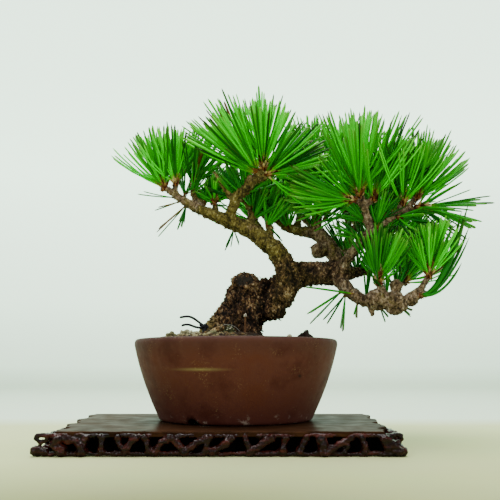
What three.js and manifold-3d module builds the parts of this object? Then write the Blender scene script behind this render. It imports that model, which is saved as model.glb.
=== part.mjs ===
// A black pine bonsai in a round stoneware pot, on a low carved wooden stand.
// Units are millimetres and +Z is up. Everything is drawn about the middle of the
// pot's rim, and the finished group is then lifted and shifted, so that the origin
// is the middle of the whole object's footprint, on the surface under the stand.

import * as THREE from 'three';
import { mergeVertices } from 'three/addons/utils/BufferGeometryUtils.js';
import Module from 'manifold-3d';

const wasm = await Module();
wasm.setup();

// Driving dimensions
const GAP = 0.3; // air between neighbours that touch
const CUT_GAP = 0.45; // what a cutting shape is grown by

const POT_RADIUS = 70;
const POT_HEIGHT = 54;
const POT_BASE_RADIUS = 51.7;
const POT_BELLY = 3.6; // how far the wall curves out of a straight cone
const POT_WALL = 6;
const POT_FLOOR = 6;
const POT_SIDES = 32;
const CURVE_STEPS = 3; // straight steps along each curve of the pot's section
const FOOT_HEIGHT = 5;
const FOOT_WIDTH = 8;
const NOTCH_WIDTH = 13;
const NOTCH_TURNS = [-120, 0, 120]; // degrees from +X
const DRAIN_RADIUS = 8;
const NET_SIZE = 26;
const NET_THICKNESS = 1.2;
const NET_HOLE = 5;
const NET_PITCH = 8;

const SOIL_CROWN = 3.5; // the soil's height over the rim at the trunk

const STAND_HEIGHT = 14;
const BOARD_THICKNESS = 3;
const BOARD_LEFT = -110.5;
const BOARD_RIGHT = 98.9;
const BOARD_FRONT = -77.7;
const BOARD_BACK = 54;
const CORNER_STEP = [9.5, 8]; // the bite out of each front corner of the board
const APRON_THICKNESS = 5.5;
const FRONT_APRON_LEFT = -114;
const FRONT_APRON_RIGHT = 98.5;
const FRONT_APRON_THICKNESS = 6;
const HOLE_SIDES = 6; // of each opening in the fretwork
const HOLE_SPACING = 10.5; // along the back and side rails
const HOLE_BORDER = 3.4; // wood between two openings
const RAIL_EDGE = 2.4; // wood under an opening
const RAIL_CORNER = 2; // cut off each upper corner of a rail
const RAIL_LIFT = 1.6; // a rail's lower corners over the table
const ARCH_HEIGHT = 0.9; // between two knuckles on a rail's lower edge
const LONG_RAIL_LOBES = 17;
const SHORT_RAIL_LOBES = 10;

const NECK_RADIUS = 1.7; // a tuft of needles where it leaves its shoot
const NECK_LENGTH = 4;
const TUFT_SIDES = 8;

const UP = new THREE.Vector3(0, 1, 0);
const potBase = -POT_HEIGHT;
const potFloor = potBase + FOOT_HEIGHT + POT_FLOOR;
const table = -POT_HEIGHT - STAND_HEIGHT;

// Helpers ----------------------------------------------------------------

function toSolid(geometry) {
  geometry.deleteAttribute('normal');
  geometry.deleteAttribute('uv');
  const merged = mergeVertices(geometry, 1e-4);
  return new wasm.Manifold(new wasm.Mesh({
    numProp: 3,
    vertProperties: new Float32Array(merged.attributes.position.array),
    triVerts: new Uint32Array(merged.index.array),
  }));
}

function toGeometry(solid) {
  const mesh = solid.getMesh();
  const geometry = new THREE.BufferGeometry();
  geometry.setAttribute('position', new THREE.BufferAttribute(mesh.vertProperties, 3));
  geometry.setIndex(new THREE.BufferAttribute(mesh.triVerts, 1));
  geometry.computeVertexNormals();
  return geometry;
}

function join(solids) {
  return solids.reduce((whole, next) => whole.add(next));
}

function largestBody(solid) {
  return solid.decompose().reduce((best, next) => (next.volume() > best.volume() ? next : best));
}

function piece(name, geometry, color, roughness) {
  const material = new THREE.MeshStandardMaterial({ color, roughness, metalness: 0 });
  const mesh = new THREE.Mesh(geometry, material);
  mesh.name = name;
  return mesh;
}

// A round bar along a curve whose radius runs through the given values. A cylinder's
// rings are carried onto the curve. grow makes it thicker and longer, for cutting.
function bar(route, radii, sides, grow = 0) {
  const curve = new THREE.CatmullRomCurve3(route.map((point) => new THREE.Vector3(...point)));
  const steps = sides > 5 ? (route.length - 1) * 2 : route.length;
  const frames = curve.computeFrenetFrames(steps);
  const geometry = new THREE.CylinderGeometry(1, 1, 1, sides, steps);
  const position = geometry.attributes.position;
  for (let i = 0; i < position.count; i += 1) {
    const along = position.getY(i) + 0.5;
    const ring = Math.round(along * steps);
    const place = along * (radii.length - 1);
    const from = Math.min(Math.floor(place), radii.length - 2);
    const radius = THREE.MathUtils.lerp(radii[from], radii[from + 1], place - from) + grow;
    const point = curve.getPointAt(along);
    point.addScaledVector(frames.normals[ring], position.getX(i) * radius);
    point.addScaledVector(frames.binormals[ring], -position.getZ(i) * radius);
    if (ring === steps) {
      point.addScaledVector(frames.tangents[ring], grow);
    }
    position.setXYZ(i, point.x, point.y, point.z);
  }
  return toSolid(geometry);
}

function lump(centre, size, turn = 0, grow = 0) {
  const geometry = new THREE.IcosahedronGeometry(1, 1);
  geometry.scale(size[0] + grow, size[1] + grow, size[2] + grow);
  geometry.rotateZ(turn);
  geometry.translate(...centre);
  return toSolid(geometry);
}

// The pot ----------------------------------------------------------------

const wallTop = new THREE.Vector2(POT_RADIUS + 0.3, -4);
const wallFoot = new THREE.Vector2(POT_BASE_RADIUS + 0.6, potBase + 2.5);
const innerTop = new THREE.Vector2(POT_RADIUS - POT_WALL, -2);
const innerFoot = new THREE.Vector2(POT_BASE_RADIUS - 2.2, potFloor);

function belly(low, high) {
  return [(low.x + high.x) / 2 + POT_BELLY, (low.y + high.y) / 2];
}

function makePot() {
  const underside = potBase + FOOT_HEIGHT;
  const section = new THREE.Shape();
  section.moveTo(DRAIN_RADIUS, underside);
  section.lineTo(POT_BASE_RADIUS - FOOT_WIDTH, underside);
  section.lineTo(POT_BASE_RADIUS - FOOT_WIDTH, potBase);
  section.lineTo(POT_BASE_RADIUS - 2, potBase);
  section.quadraticCurveTo(POT_BASE_RADIUS, potBase, wallFoot.x, wallFoot.y);
  section.quadraticCurveTo(...belly(wallFoot, wallTop), wallTop.x, wallTop.y);
  section.quadraticCurveTo(POT_RADIUS + 0.2, 0, POT_RADIUS - 2.5, 0);
  section.lineTo(innerTop.x + 1.5, 0);
  section.lineTo(innerTop.x, innerTop.y);
  section.quadraticCurveTo(...belly(innerFoot, innerTop), innerFoot.x, innerFoot.y);
  section.lineTo(DRAIN_RADIUS, potFloor);
  section.closePath();
  const points = section.getPoints(CURVE_STEPS);
  const turned = new THREE.LatheGeometry(points, POT_SIDES);
  turned.rotateX(Math.PI / 2);
  const notches = NOTCH_TURNS.map((degrees) => {
    const notch = new THREE.BoxGeometry(4 * FOOT_WIDTH, NOTCH_WIDTH, 2 * FOOT_HEIGHT - 1);
    notch.translate(POT_BASE_RADIUS, 0, potBase);
    notch.rotateZ(THREE.MathUtils.degToRad(degrees));
    return toSolid(notch);
  });
  return toSolid(turned).subtract(join(notches));
}

// A square of plastic net over the drain hole. A grown one has no holes.
function makeNet(grow = 0) {
  const side = NET_SIZE + 2 * grow;
  const sheet = new THREE.BoxGeometry(side, side, NET_THICKNESS + 2 * grow);
  sheet.translate(0, 0, potFloor + GAP + NET_THICKNESS / 2);
  const holes = [];
  for (const x of [-NET_PITCH, 0, NET_PITCH]) {
    for (const y of [-NET_PITCH, 0, NET_PITCH]) {
      const hole = new THREE.BoxGeometry(NET_HOLE, NET_HOLE, 4 * NET_THICKNESS);
      hole.translate(x, y, potFloor);
      holes.push(toSolid(hole));
    }
  }
  return grow > 0 ? toSolid(sheet) : toSolid(sheet).subtract(join(holes));
}

// The tree ---------------------------------------------------------------
// Each limb starts inside the one that it grows from. Radii run from its start to its
// tip. Where a tuft of needles grows on the tip, lean is the way that the tuft points.

const LIMBS = [
  { route: [[-2, 1, -14], [0, 0, 4], [4, 0, 22], [9, -2, 42]], radii: [15, 18.5, 15, 10] },
  { route: [[15, 2, 20], [19, 2, 34], [21, 2, 43]], radii: [10, 7, 4] },
  { route: [[-4, -6, 17], [-13, -9, 9], [-22, -11, 1], [-30, -12, -8]], radii: [9, 7.5, 5.5, 3] },
  { route: [[4, 6, 6], [8, 20, 0], [8, 30, -8]], radii: [9, 6, 3] },
  { route: [[8, 0, 16], [20, -2, 23], [31, -4, 30], [36, -7, 42], [33, -9, 54], [25, -11, 66]],
    radii: [11, 10, 10, 8.5, 7, 6.5] },
  { route: [[25, -11, 64], [10, -12, 76], [-6, -12, 83], [-23, -11, 90], [-37, -9, 98], [-51, -6, 108]],
    radii: [6.5, 6, 5, 4, 3, 2],
    tuft: { name: 'left_tip', lean: [-0.5, 0, 0.87], length: 40, radius: 19 } },
  { route: [[-40, -9, 99], [-44, -8, 104], [-44, -7, 110]], radii: [2.8, 2.5, 2.2],
    tuft: { name: 'left_upper', lean: [-0.1, 0.15, 1], length: 39, radius: 15 } },
  { route: [[-25, -11, 91], [-29, -6, 100], [-32, -2, 111]], radii: [3.8, 3.4, 2.5],
    tuft: { name: 'left_inner', lean: [0.25, 0.1, 1], length: 35, radius: 16 } },
  { route: [[-29, -6, 99], [-25, 1, 105]], radii: [2.6, 2.2],
    tuft: { name: 'left_back', lean: [0.6, 0.6, 0.6], length: 31, radius: 14 } },
  { route: [[-15, -12, 86], [-15, -8, 92], [-16, -6, 97]], radii: [3, 2.5, 2],
    tuft: { name: 'left_small', lean: [0.1, 0.1, 1], length: 17, radius: 9 } },
  { route: [[-6, -12, 82], [-3, -15, 90], [0, -17, 98], [10, -21, 107], [18, -22, 117]],
    radii: [4.8, 4, 3.8, 3.2, 2.5],
    tuft: { name: 'crown', lean: [-0.02, -0.1, 1], length: 52, radius: 25 } },
  { route: [[6, -20, 103], [9, -22, 110], [10, -22, 113]], radii: [2.8, 2.4, 2.2],
    tuft: { name: 'crown_left', lean: [-0.68, -0.05, 0.73], length: 49, radius: 19 } },
  { route: [[14, -22, 110], [21, -21, 112]], radii: [2.6, 2.2],
    tuft: { name: 'crown_right', lean: [0.88, 0.05, 0.42], length: 47, radius: 19 } },
  { route: [[-1, -17, 96], [-8, -16, 105], [-12, -16, 111], [-16, -16, 118]], radii: [2.6, 2, 1.6, 1.2] },
  { route: [[8, -11, 76], [10, -5, 86], [10, -1, 94], [5, 2, 102]], radii: [3.2, 2.8, 2.4, 2],
    tuft: { name: 'left_rear', lean: [-0.3, 0.4, 0.9], length: 27, radius: 13 } },
  { route: [[22, -10, 68], [24, -3, 78], [21, 3, 90]], radii: [3.6, 3, 2.2],
    tuft: { name: 'middle_low', lean: [0, 0.15, 1], length: 26, radius: 12 } },
  { route: [[28, -2, 34], [43, 3, 46], [58, 6, 48], [70, 7, 48], [80, 3, 46]],
    radii: [9.5, 9.5, 9, 8.5, 7] },
  { route: [[76, 3, 44], [76, -4, 52], [84, -8, 63], [95, -11, 76]], radii: [5.5, 4, 3.2, 3.2] },
  { route: [[95, -11, 75], [92, -14, 86], [88, -16, 99]], radii: [3.2, 2.6, 2.8],
    tuft: { name: 'top', lean: [-0.02, -0.12, 1], length: 56, radius: 22 } },
  { route: [[90, -15, 92], [86, -17, 95], [83, -18, 96]], radii: [2.4, 2.2, 2],
    tuft: { name: 'top_left', lean: [-0.95, -0.1, 0.3], length: 46, radius: 13 } },
  { route: [[90, -15, 92], [95, -16, 97]], radii: [2.4, 2],
    tuft: { name: 'top_right', lean: [0.42, 0, 0.9], length: 52, radius: 16 } },
  { route: [[95, -11, 75], [108, -12, 84], [120, -10, 91], [127, -10, 99]], radii: [3, 2.3, 2.3, 2.2],
    tuft: { name: 'right_tip', lean: [0.38, 0, 0.92], length: 47, radius: 18 } },
  { route: [[114, -11, 87], [117, -12, 94]], radii: [2.4, 2.2],
    tuft: { name: 'right_upper', lean: [-0.02, -0.15, 1], length: 46, radius: 15 } },
  { route: [[120, -10, 90], [127, -11, 92]], radii: [2.2, 2],
    tuft: { name: 'right_low', lean: [0.97, 0, 0.05], length: 45, radius: 16 } },
  { route: [[74, 4, 46], [76, -5, 37], [88, -10, 27], [101, -13, 25], [117, -15, 24]],
    radii: [6.5, 4.8, 4.4, 4.6, 4] },
  { route: [[92, -12, 27], [94, -13, 16]], radii: [3.2, 1.4] },
  { route: [[101, -13, 25], [101, -14, 31], [99, -15, 37]], radii: [4, 3.4, 2.8],
    tuft: { name: 'low_middle', lean: [0.05, -0.1, 1], length: 44, radius: 17 } },
  { route: [[113, -14, 24], [119, -15, 28], [126, -16, 33], [132, -16, 42]], radii: [3.6, 3, 2.4, 2],
    tuft: { name: 'low_tip', lean: [0.25, 0, 0.97], length: 44, radius: 18 } },
  { route: [[122, -16, 29], [128, -17, 29]], radii: [2.4, 2],
    tuft: { name: 'low_sweep', lean: [0.62, -0.05, 0.78], length: 58, radius: 9 } },
  { route: [[110, -13, 26], [113, -6, 36], [120, 3, 41]], radii: [3, 2.4, 2.2],
    tuft: { name: 'low_back', lean: [0.35, 0.4, 0.85], length: 42, radius: 16 } },
  { route: [[76, 8, 50], [74, 13, 60], [68, 16, 70], [59, 17, 82]], radii: [7, 6.5, 6, 5] },
  { route: [[60, 17, 78], [59, 17, 88], [63, 18, 101], [62, 18, 112], [58, 18, 123]],
    radii: [4.6, 4, 3.5, 3, 2.5],
    tuft: { name: 'back_top', lean: [-0.03, 0.05, 1], length: 44, radius: 20 } },
  { route: [[63, 18, 109], [69, 22, 120]], radii: [2.6, 2.2],
    tuft: { name: 'back_right', lean: [0.45, 0.3, 0.85], length: 38, radius: 15 } },
  { route: [[61, 17, 79], [47, 19, 82], [36, 21, 86], [27, 22, 94]], radii: [4.6, 4, 3.4, 2.4],
    tuft: { name: 'back_left', lean: [-0.5, 0.3, 0.8], length: 31, radius: 13 } },
  { route: [[44, 20, 83], [47, 24, 92], [48, 25, 101]], radii: [3, 2.6, 2.2],
    tuft: { name: 'back_middle', lean: [0.05, 0.2, 1], length: 38, radius: 15 } },
  { route: [[37, 21, 85], [36, 24, 92]], radii: [2.6, 2.2],
    tuft: { name: 'back_inner', lean: [0.05, 0.2, 1], length: 30, radius: 11 } },
  { route: [[78, 6, 48], [90, 14, 50], [101, 18, 53], [120, 26, 65]], radii: [5, 3.6, 3, 2.4],
    tuft: { name: 'gap_right', lean: [0.7, 0.35, 0.6], length: 42, radius: 17 } },
  { route: [[98, 17, 52], [99, 20, 65], [104, 22, 80], [114, 25, 96]], radii: [2.8, 2.6, 2.4, 2.2],
    tuft: { name: 'right_rear', lean: [0.3, 0.25, 0.92], length: 45, radius: 18 } },
  { route: [[28, -9, 58], [25, 8, 69], [19, 24, 81], [14, 36, 92]], radii: [5.5, 4.4, 3.6, 2.6],
    tuft: { name: 'rear_left', lean: [-0.3, 0.35, 0.85], length: 38, radius: 17 } },
  { route: [[63, 16, 74], [60, 29, 84], [54, 38, 94]], radii: [4, 3.4, 2.4],
    tuft: { name: 'rear_middle', lean: [0, 0.3, 0.95], length: 40, radius: 17 } },
  { route: [[72, 12, 52], [79, 28, 66], [87, 37, 78], [93, 42, 90]], radii: [6.5, 4.8, 3.8, 2.6],
    tuft: { name: 'rear_right', lean: [0.1, 0.35, 0.93], length: 42, radius: 17 } },
  { route: [[79, 28, 66], [93, 38, 72], [105, 42, 80]], radii: [3.4, 3, 2.4],
    tuft: { name: 'rear_tip', lean: [0.65, 0.25, 0.7], length: 40, radius: 16 } },
  { route: [[88, 37, 79], [85, 32, 96], [82, 24, 108], [82, 18, 118]], radii: [3, 2.8, 2.5, 2.2],
    tuft: { name: 'back_crown', lean: [0.05, 0.15, 1], length: 49, radius: 18 } },
];

// Round knots where wood was cut or has swollen: centre and half sizes.
const KNOTS = [
  [[6.5, -5, 38], [10, 10, 9.5]],
  [[27, -6, 20.5], [8.5, 7.5, 7.2]],
  [[61, 12, 66], [6.5, 6, 6]],
  [[97, -14, 27], [8, 6.5, 7.5]],
  [[109, -15, 24.5], [8, 6.5, 8.5]],
  [[110.5, -14, 36.5], [4.5, 4, 5]],
  [[120, -16, 26.5], [5, 4, 4.5]],
];

// Thick limbs are rounder than twigs.
function limbSides(radii) {
  const thick = Math.max(...radii);
  if (thick > 8) return 9;
  return thick > 3.5 ? 6 : 5;
}

function makeWood(limbs, knots, grow = 0) {
  const bars = limbs.map((limb) => bar(limb.route, limb.radii, limbSides(limb.radii), grow));
  const swellings = knots.map(([centre, size]) => lump(centre, size, 0, grow));
  return join([...bars, ...swellings]);
}

// A tuft of needles as one closed shuttlecock: a short neck on the shoot, a widening
// cone and a domed end.
function makeTuft(tip, tuft, grow = 0) {
  const neck = NECK_RADIUS + grow;
  const width = tuft.radius + 1.6 * grow;
  const top = tuft.length + 2 * grow;
  const profile = [
    [0, 0],
    [neck, 0],
    [neck + 0.6, NECK_LENGTH],
    [width * 0.7, top * 0.5],
    [width, top * 0.84],
    [0, top],
  ];
  const points = profile.map(([radius, height]) => new THREE.Vector2(radius, height));
  const geometry = new THREE.LatheGeometry(points, TUFT_SIDES);
  const lean = new THREE.Vector3(...tuft.lean).normalize();
  const base = new THREE.Vector3(...tip).addScaledVector(lean, GAP - grow);
  geometry.applyQuaternion(new THREE.Quaternion().setFromUnitVectors(UP, lean));
  geometry.translate(base.x, base.y, base.z);
  return toSolid(geometry);
}

// Every tuft is cut back from the wood and from the tufts made before it, and its
// largest remaining body is kept.
function makeTufts() {
  const meshes = [];
  let taken = makeWood(LIMBS, KNOTS, CUT_GAP);
  for (const { route, tuft } of LIMBS.filter((limb) => limb.tuft)) {
    const tip = route.at(-1);
    const body = largestBody(makeTuft(tip, tuft).subtract(taken));
    taken = taken.add(makeTuft(tip, tuft, CUT_GAP));
    meshes.push(piece(`needles_${tuft.name}`, toGeometry(body), '#3f8f1c', 0.5));
  }
  return meshes;
}

// What lies on the soil -----------------------------------------------------

function makeTieWire(grow = 0) {
  return join([
    bar([[-20, -22, -8], [-21, -22, 4], [-21, -22, 9.5]], [1.5, 1.6, 1.6], 6, grow),
    bar([[-21, -22, 8], [-26, -23, 12], [-31, -24, 14.8], [-37.5, -24, 14]], [0.8, 0.8], 6, grow),
    bar([[-21, -22, 7], [-27, -24, 7.6], [-32, -26, 9.4], [-36, -26, 8.4]], [0.8, 0.8], 6, grow),
  ]);
}

function makeThinWire(grow = 0) {
  const route = [[-11, -24, -4], [-10, -24, 8], [-5, -24, 9.5], [0, -24, 7.6], [3, -24, 4.6]];
  return bar(route, [0.5, 0.5], 6, grow);
}

function makePeg(grow = 0) {
  const stalk = bar([[7, -23, -8], [6.8, -23, 4], [6.4, -23, 15]], [1, 1], 6, grow);
  return stalk.add(lump([6.4, -23, 15], [1.6, 1.6, 1.6], 0, grow));
}

const PEBBLES = [
  [[-43, -20, 1.5], [4, 3, 3]],
  [[-35, -26, 2.2], [3.6, 3, 3]],
  [[-33, -16, 3.2], [4.4, 3.4, 3]],
  [[-15, -31, 2.4], [3.4, 2.8, 2.6]],
  [[-26, -33, 1.8], [2.6, 3.4, 2.4]],
  [[36, -24, 0.4], [2.1, 2, 1.9]],
];
const BARK_CHIP = [[46.4, -22, 1], [5, 4.2, 4.8]];

// The finished soil is hollowed out round everything that stands in it.
function makeSoil() {
  const inset = 1.3 * GAP;
  const bottom = potFloor + GAP;
  const bulge = belly(innerFoot, innerTop);
  const outline = new THREE.Path();
  outline.moveTo(0, bottom);
  outline.lineTo(innerFoot.x - 2 * inset, bottom);
  outline.quadraticCurveTo(bulge[0] - inset, bulge[1], innerTop.x - inset, innerTop.y);
  outline.quadraticCurveTo(POT_RADIUS / 2, SOIL_CROWN, 0, SOIL_CROWN);
  const turned = new THREE.LatheGeometry(outline.getPoints(CURVE_STEPS), POT_SIDES);
  turned.rotateX(Math.PI / 2);
  const buried = [
    makeWood(LIMBS.slice(0, 4), [], CUT_GAP),
    makeNet(CUT_GAP),
    makeTieWire(CUT_GAP),
    makeThinWire(CUT_GAP),
    makePeg(CUT_GAP),
    lump(...BARK_CHIP, 0.3, CUT_GAP),
    ...PEBBLES.map(([centre, size], index) => lump(centre, size, index, CUT_GAP)),
  ];
  return largestBody(toSolid(turned).subtract(join(buried)));
}

// The stand ----------------------------------------------------------------

function slab(outline, depth) {
  return new THREE.ExtrudeGeometry(outline, { depth, bevelEnabled: false, curveSegments: 6 });
}

function makeBoard() {
  const [stepX, stepY] = CORNER_STEP;
  const outline = new THREE.Shape();
  outline.moveTo(BOARD_LEFT + stepX, BOARD_FRONT);
  outline.lineTo(BOARD_RIGHT - stepX, BOARD_FRONT);
  outline.lineTo(BOARD_RIGHT - stepX, BOARD_FRONT + stepY);
  outline.lineTo(BOARD_RIGHT, BOARD_FRONT + stepY);
  outline.lineTo(BOARD_RIGHT, BOARD_BACK);
  outline.lineTo(BOARD_LEFT, BOARD_BACK);
  outline.lineTo(BOARD_LEFT, BOARD_FRONT + stepY);
  outline.lineTo(BOARD_LEFT + stepX, BOARD_FRONT + stepY);
  outline.closePath();
  const board = slab(outline, BOARD_THICKNESS);
  board.translate(0, 0, potBase - GAP - BOARD_THICKNESS);
  return board;
}

// A fretwork rail, drawn as seen from its outside. lobes is the number of rounded
// knuckles along its lower edge, and openings hold the middle, width, bottom and top
// of each hole.
function makeRail(length, height, thickness, lobes, openings) {
  const rail = new THREE.Shape();
  const pitch = length / lobes;
  rail.moveTo(0, RAIL_LIFT);
  for (let i = 0; i < lobes; i += 1) {
    rail.lineTo(pitch * (i + 0.2), 0);
    rail.lineTo(pitch * (i + 0.8), 0);
    rail.lineTo(pitch * (i + 1), i === lobes - 1 ? RAIL_LIFT : ARCH_HEIGHT);
  }
  rail.lineTo(length, height - RAIL_CORNER);
  rail.lineTo(length - RAIL_CORNER, height);
  rail.lineTo(RAIL_CORNER, height);
  rail.lineTo(0, height - RAIL_CORNER);
  rail.closePath();
  const plank = slab(rail, thickness);
  plank.rotateX(Math.PI / 2);
  const holes = openings.map(([middle, width, low, high]) => {
    const hole = new THREE.CylinderGeometry(width / 2, width / 2, 3 * thickness, HOLE_SIDES);
    hole.rotateY(Math.PI / HOLE_SIDES);
    hole.scale(1, 1, (high - low) / width);
    hole.translate(middle, 0, (low + high) / 2);
    return toSolid(hole);
  });
  return toGeometry(toSolid(plank).subtract(join(holes)));
}

function evenOpenings(length, height) {
  const count = Math.round(length / HOLE_SPACING);
  const pitch = length / count;
  const high = height - RAIL_EDGE;
  return Array.from({ length: count }, (_, i) => [pitch * (i + 0.5), pitch - HOLE_BORDER, RAIL_EDGE, high]);
}

// The front rail's openings: middle from the left end, width, bottom and top.
const FRONT_OPENINGS = [
  [10, 4, 3, 9], [17, 4, 3, 10.5], [25, 8, 2.6, 11], [36, 7.2, 2.6, 11], [45, 5.6, 2.6, 11],
  [53.5, 7, 5, 11.4], [61.5, 7, 2.4, 8.6], [71.5, 8.4, 4.6, 11.4], [80, 6, 2.4, 9],
  [88.5, 5.6, 2.6, 11], [97, 7, 3.4, 11.2], [105.5, 7.4, 2.6, 10.6], [116.5, 9.4, 2.6, 11],
  [127.5, 6.6, 4.4, 11.4], [138, 6, 2.6, 11], [148, 8.8, 2.6, 11], [157.5, 5.6, 2.6, 10.6],
  [171.5, 9.6, 6.6, 11.6], [173, 6, 2, 5.4], [182, 6.6, 2.6, 11], [192.5, 8.4, 2.6, 11],
  [201.5, 4.4, 3, 9.6],
];

function makeAprons() {
  const frontLength = FRONT_APRON_RIGHT - FRONT_APRON_LEFT;
  const backLength = BOARD_RIGHT - BOARD_LEFT - 1;
  const sideLength = BOARD_BACK - APRON_THICKNESS - BOARD_FRONT - 1;
  const low = STAND_HEIGHT - BOARD_THICKNESS - 2 * GAP;
  const front = makeRail(frontLength, STAND_HEIGHT - GAP, FRONT_APRON_THICKNESS, LONG_RAIL_LOBES,
    FRONT_OPENINGS);
  front.translate(FRONT_APRON_LEFT, BOARD_FRONT - GAP, table);
  const back = makeRail(backLength, low, APRON_THICKNESS, LONG_RAIL_LOBES, evenOpenings(backLength, low));
  back.translate(BOARD_LEFT + 0.5, BOARD_BACK, table);
  const sides = [BOARD_LEFT + 0.5, BOARD_RIGHT - APRON_THICKNESS - 0.5].map((x) => {
    const side = makeRail(sideLength, low, APRON_THICKNESS, SHORT_RAIL_LOBES, evenOpenings(sideLength, low));
    side.rotateZ(Math.PI / 2);
    side.translate(x, BOARD_FRONT + 0.5, table);
    return side;
  });
  return { front, back, left: sides[0], right: sides[1] };
}

// Assembly -------------------------------------------------------------------

const aprons = makeAprons();
const bonsai = new THREE.Group();
bonsai.add(piece('pot', toGeometry(makePot()), '#4d3329', 0.75));
bonsai.add(piece('drain_net', toGeometry(makeNet()), '#22251f', 0.6));
bonsai.add(piece('soil', toGeometry(makeSoil()), '#4a3a28', 1));
bonsai.add(piece('trunk', toGeometry(makeWood(LIMBS, KNOTS)), '#6b5138', 0.9));
bonsai.add(...makeTufts());
bonsai.add(piece('tie_wire', toGeometry(makeTieWire()), '#15171a', 0.4));
bonsai.add(piece('thin_wire', toGeometry(makeThinWire()), '#8a8d88', 0.4));
bonsai.add(piece('peg', toGeometry(makePeg()), '#7a5c3c', 0.9));
PEBBLES.forEach(([centre, size], index) => {
  const pebble = toGeometry(lump(centre, size, index));
  bonsai.add(piece(`pebble_${index + 1}`, pebble, '#b9b09a', 0.9));
});
bonsai.add(piece('bark_chip', toGeometry(lump(...BARK_CHIP, 0.3)), '#2b2019', 0.95));
bonsai.add(piece('stand_board', makeBoard(), '#2a1513', 0.3));
bonsai.add(piece('stand_front_apron', aprons.front, '#2a1210', 0.35));
bonsai.add(piece('stand_back_apron', aprons.back, '#2a1210', 0.35));
bonsai.add(piece('stand_left_apron', aprons.left, '#2a1210', 0.35));
bonsai.add(piece('stand_right_apron', aprons.right, '#2a1210', 0.35));

const middle = new THREE.Box3().setFromObject(bonsai).getCenter(new THREE.Vector3());
bonsai.position.set(-middle.x, -middle.y, -table);

const group = new THREE.Group();
group.add(bonsai);

export default group;
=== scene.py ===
# %% [markdown]
# # A small pine bonsai in a stoneware pot
# This lesson finishes a bonsai whose construction is already settled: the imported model
# gives every piece its place and size, and Blender gives each one its surface. The tree,
# the soil, the pot and the carved stand are made one after another, each in its own
# cells, and the studio comes last.

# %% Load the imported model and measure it
import math
import random

import bmesh
import bpy
from mathutils import Matrix, Quaternion, Vector, noise
from mathutils.bvhtree import BVHTree


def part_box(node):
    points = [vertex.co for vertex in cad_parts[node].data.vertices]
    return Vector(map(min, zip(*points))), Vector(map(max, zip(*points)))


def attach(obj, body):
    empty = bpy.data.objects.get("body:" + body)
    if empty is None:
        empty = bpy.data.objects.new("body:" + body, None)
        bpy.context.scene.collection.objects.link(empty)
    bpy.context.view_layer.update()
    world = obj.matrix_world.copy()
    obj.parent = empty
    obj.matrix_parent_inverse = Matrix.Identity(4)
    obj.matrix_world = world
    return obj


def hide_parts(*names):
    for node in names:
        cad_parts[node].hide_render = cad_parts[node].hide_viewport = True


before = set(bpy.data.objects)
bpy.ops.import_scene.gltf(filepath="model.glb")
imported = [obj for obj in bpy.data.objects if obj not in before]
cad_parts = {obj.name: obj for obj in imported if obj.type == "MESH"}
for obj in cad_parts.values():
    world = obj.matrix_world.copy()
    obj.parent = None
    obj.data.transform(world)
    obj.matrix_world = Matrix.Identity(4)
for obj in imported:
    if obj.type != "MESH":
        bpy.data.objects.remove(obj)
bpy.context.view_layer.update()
MM = 0.001
pot_low, pot_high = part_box("pot")
POT_AXIS = (pot_low + pot_high) / 2
POT_RADIUS = (pot_high.x - pot_low.x) / 2
RIM = pot_high.z
STAND_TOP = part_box("stand_board")[1].z
print("pot radius, mm:", round(POT_RADIUS / MM, 1), "rim height, mm:", round(RIM / MM, 1))

# %% [markdown]
# ## Helpers
# A finished piece always goes through the same steps: it becomes an object at the
# origin, takes its material, rides on the root body and, where it stands for packed
# pieces, hides them. One function does that, so that no piece is left floating.

# %% Make, finish and reshape pieces
def finish_piece(name, shape, material, stands_for=(), smooth=True):
    """Turns a bmesh or mesh into a finished piece that rides on the root body."""
    mesh = shape
    if isinstance(shape, bmesh.types.BMesh):
        mesh = bpy.data.meshes.new(name)
        shape.to_mesh(mesh)
        shape.free()
    mesh.name = name
    piece = bpy.data.objects.new(name, mesh)
    bpy.context.scene.collection.objects.link(piece)
    for face in mesh.polygons:
        face.use_smooth = smooth
    mesh.materials.clear()
    mesh.materials.append(material)
    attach(piece, "root")
    if stands_for:
        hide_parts(*stands_for)
    return piece


def merged_copy(node):
    """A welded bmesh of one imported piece, which itself is loose triangles."""
    shape = bmesh.new()
    shape.from_mesh(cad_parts[node].data)
    bmesh.ops.remove_doubles(shape, verts=shape.verts, dist=0.002 * MM)
    return shape


def with_modifiers(shape, *settings):
    """The mesh that a bmesh becomes under the given modifiers, as (kind, options)."""
    mesh = bpy.data.meshes.new("work")
    shape.to_mesh(mesh)
    shape.free()
    work = bpy.data.objects.new("work", mesh)
    bpy.context.scene.collection.objects.link(work)
    for kind, options in settings:
        modifier = work.modifiers.new(kind.lower(), kind)
        for key, value in options.items():
            setattr(modifier, key, value)
    seen = work.evaluated_get(bpy.context.evaluated_depsgraph_get())
    result = bpy.data.meshes.new_from_object(seen)
    bpy.data.objects.remove(work)
    bpy.data.meshes.remove(mesh)
    return result


def voxels(size_mm, smoothing=0.0, rounds=0):
    """Modifier settings for a remesh into even voxels, and then some smoothing."""
    steps = [("REMESH", {"mode": "VOXEL", "voxel_size": size_mm * MM})]
    if rounds:
        steps.append(("SMOOTH", {"factor": smoothing, "iterations": rounds}))
    return steps


def move_along_normals(mesh, distance):
    """Moves every vertex along its normal by distance(place, normal), in metres."""
    normals = [v.normal.copy() for v in mesh.vertices]
    for vertex, normal in zip(mesh.vertices, normals):
        vertex.co += normal * distance(vertex.co, normal)
    mesh.update()


def smooth_step(low, high, value):
    """0 at low, 1 at high, eased between them, whichever of the two is larger."""
    part = min(max((value - low) / (high - low), 0.0), 1.0)
    return part * part * (3 - 2 * part)


def wander(place):
    """Three noises in one vector. The ready-made noise_vector is not the same in every run."""
    return Vector([noise.noise(place + Vector((far, -far, 2 * far))) for far in (0.0, 17.3, 41.9)])


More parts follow.
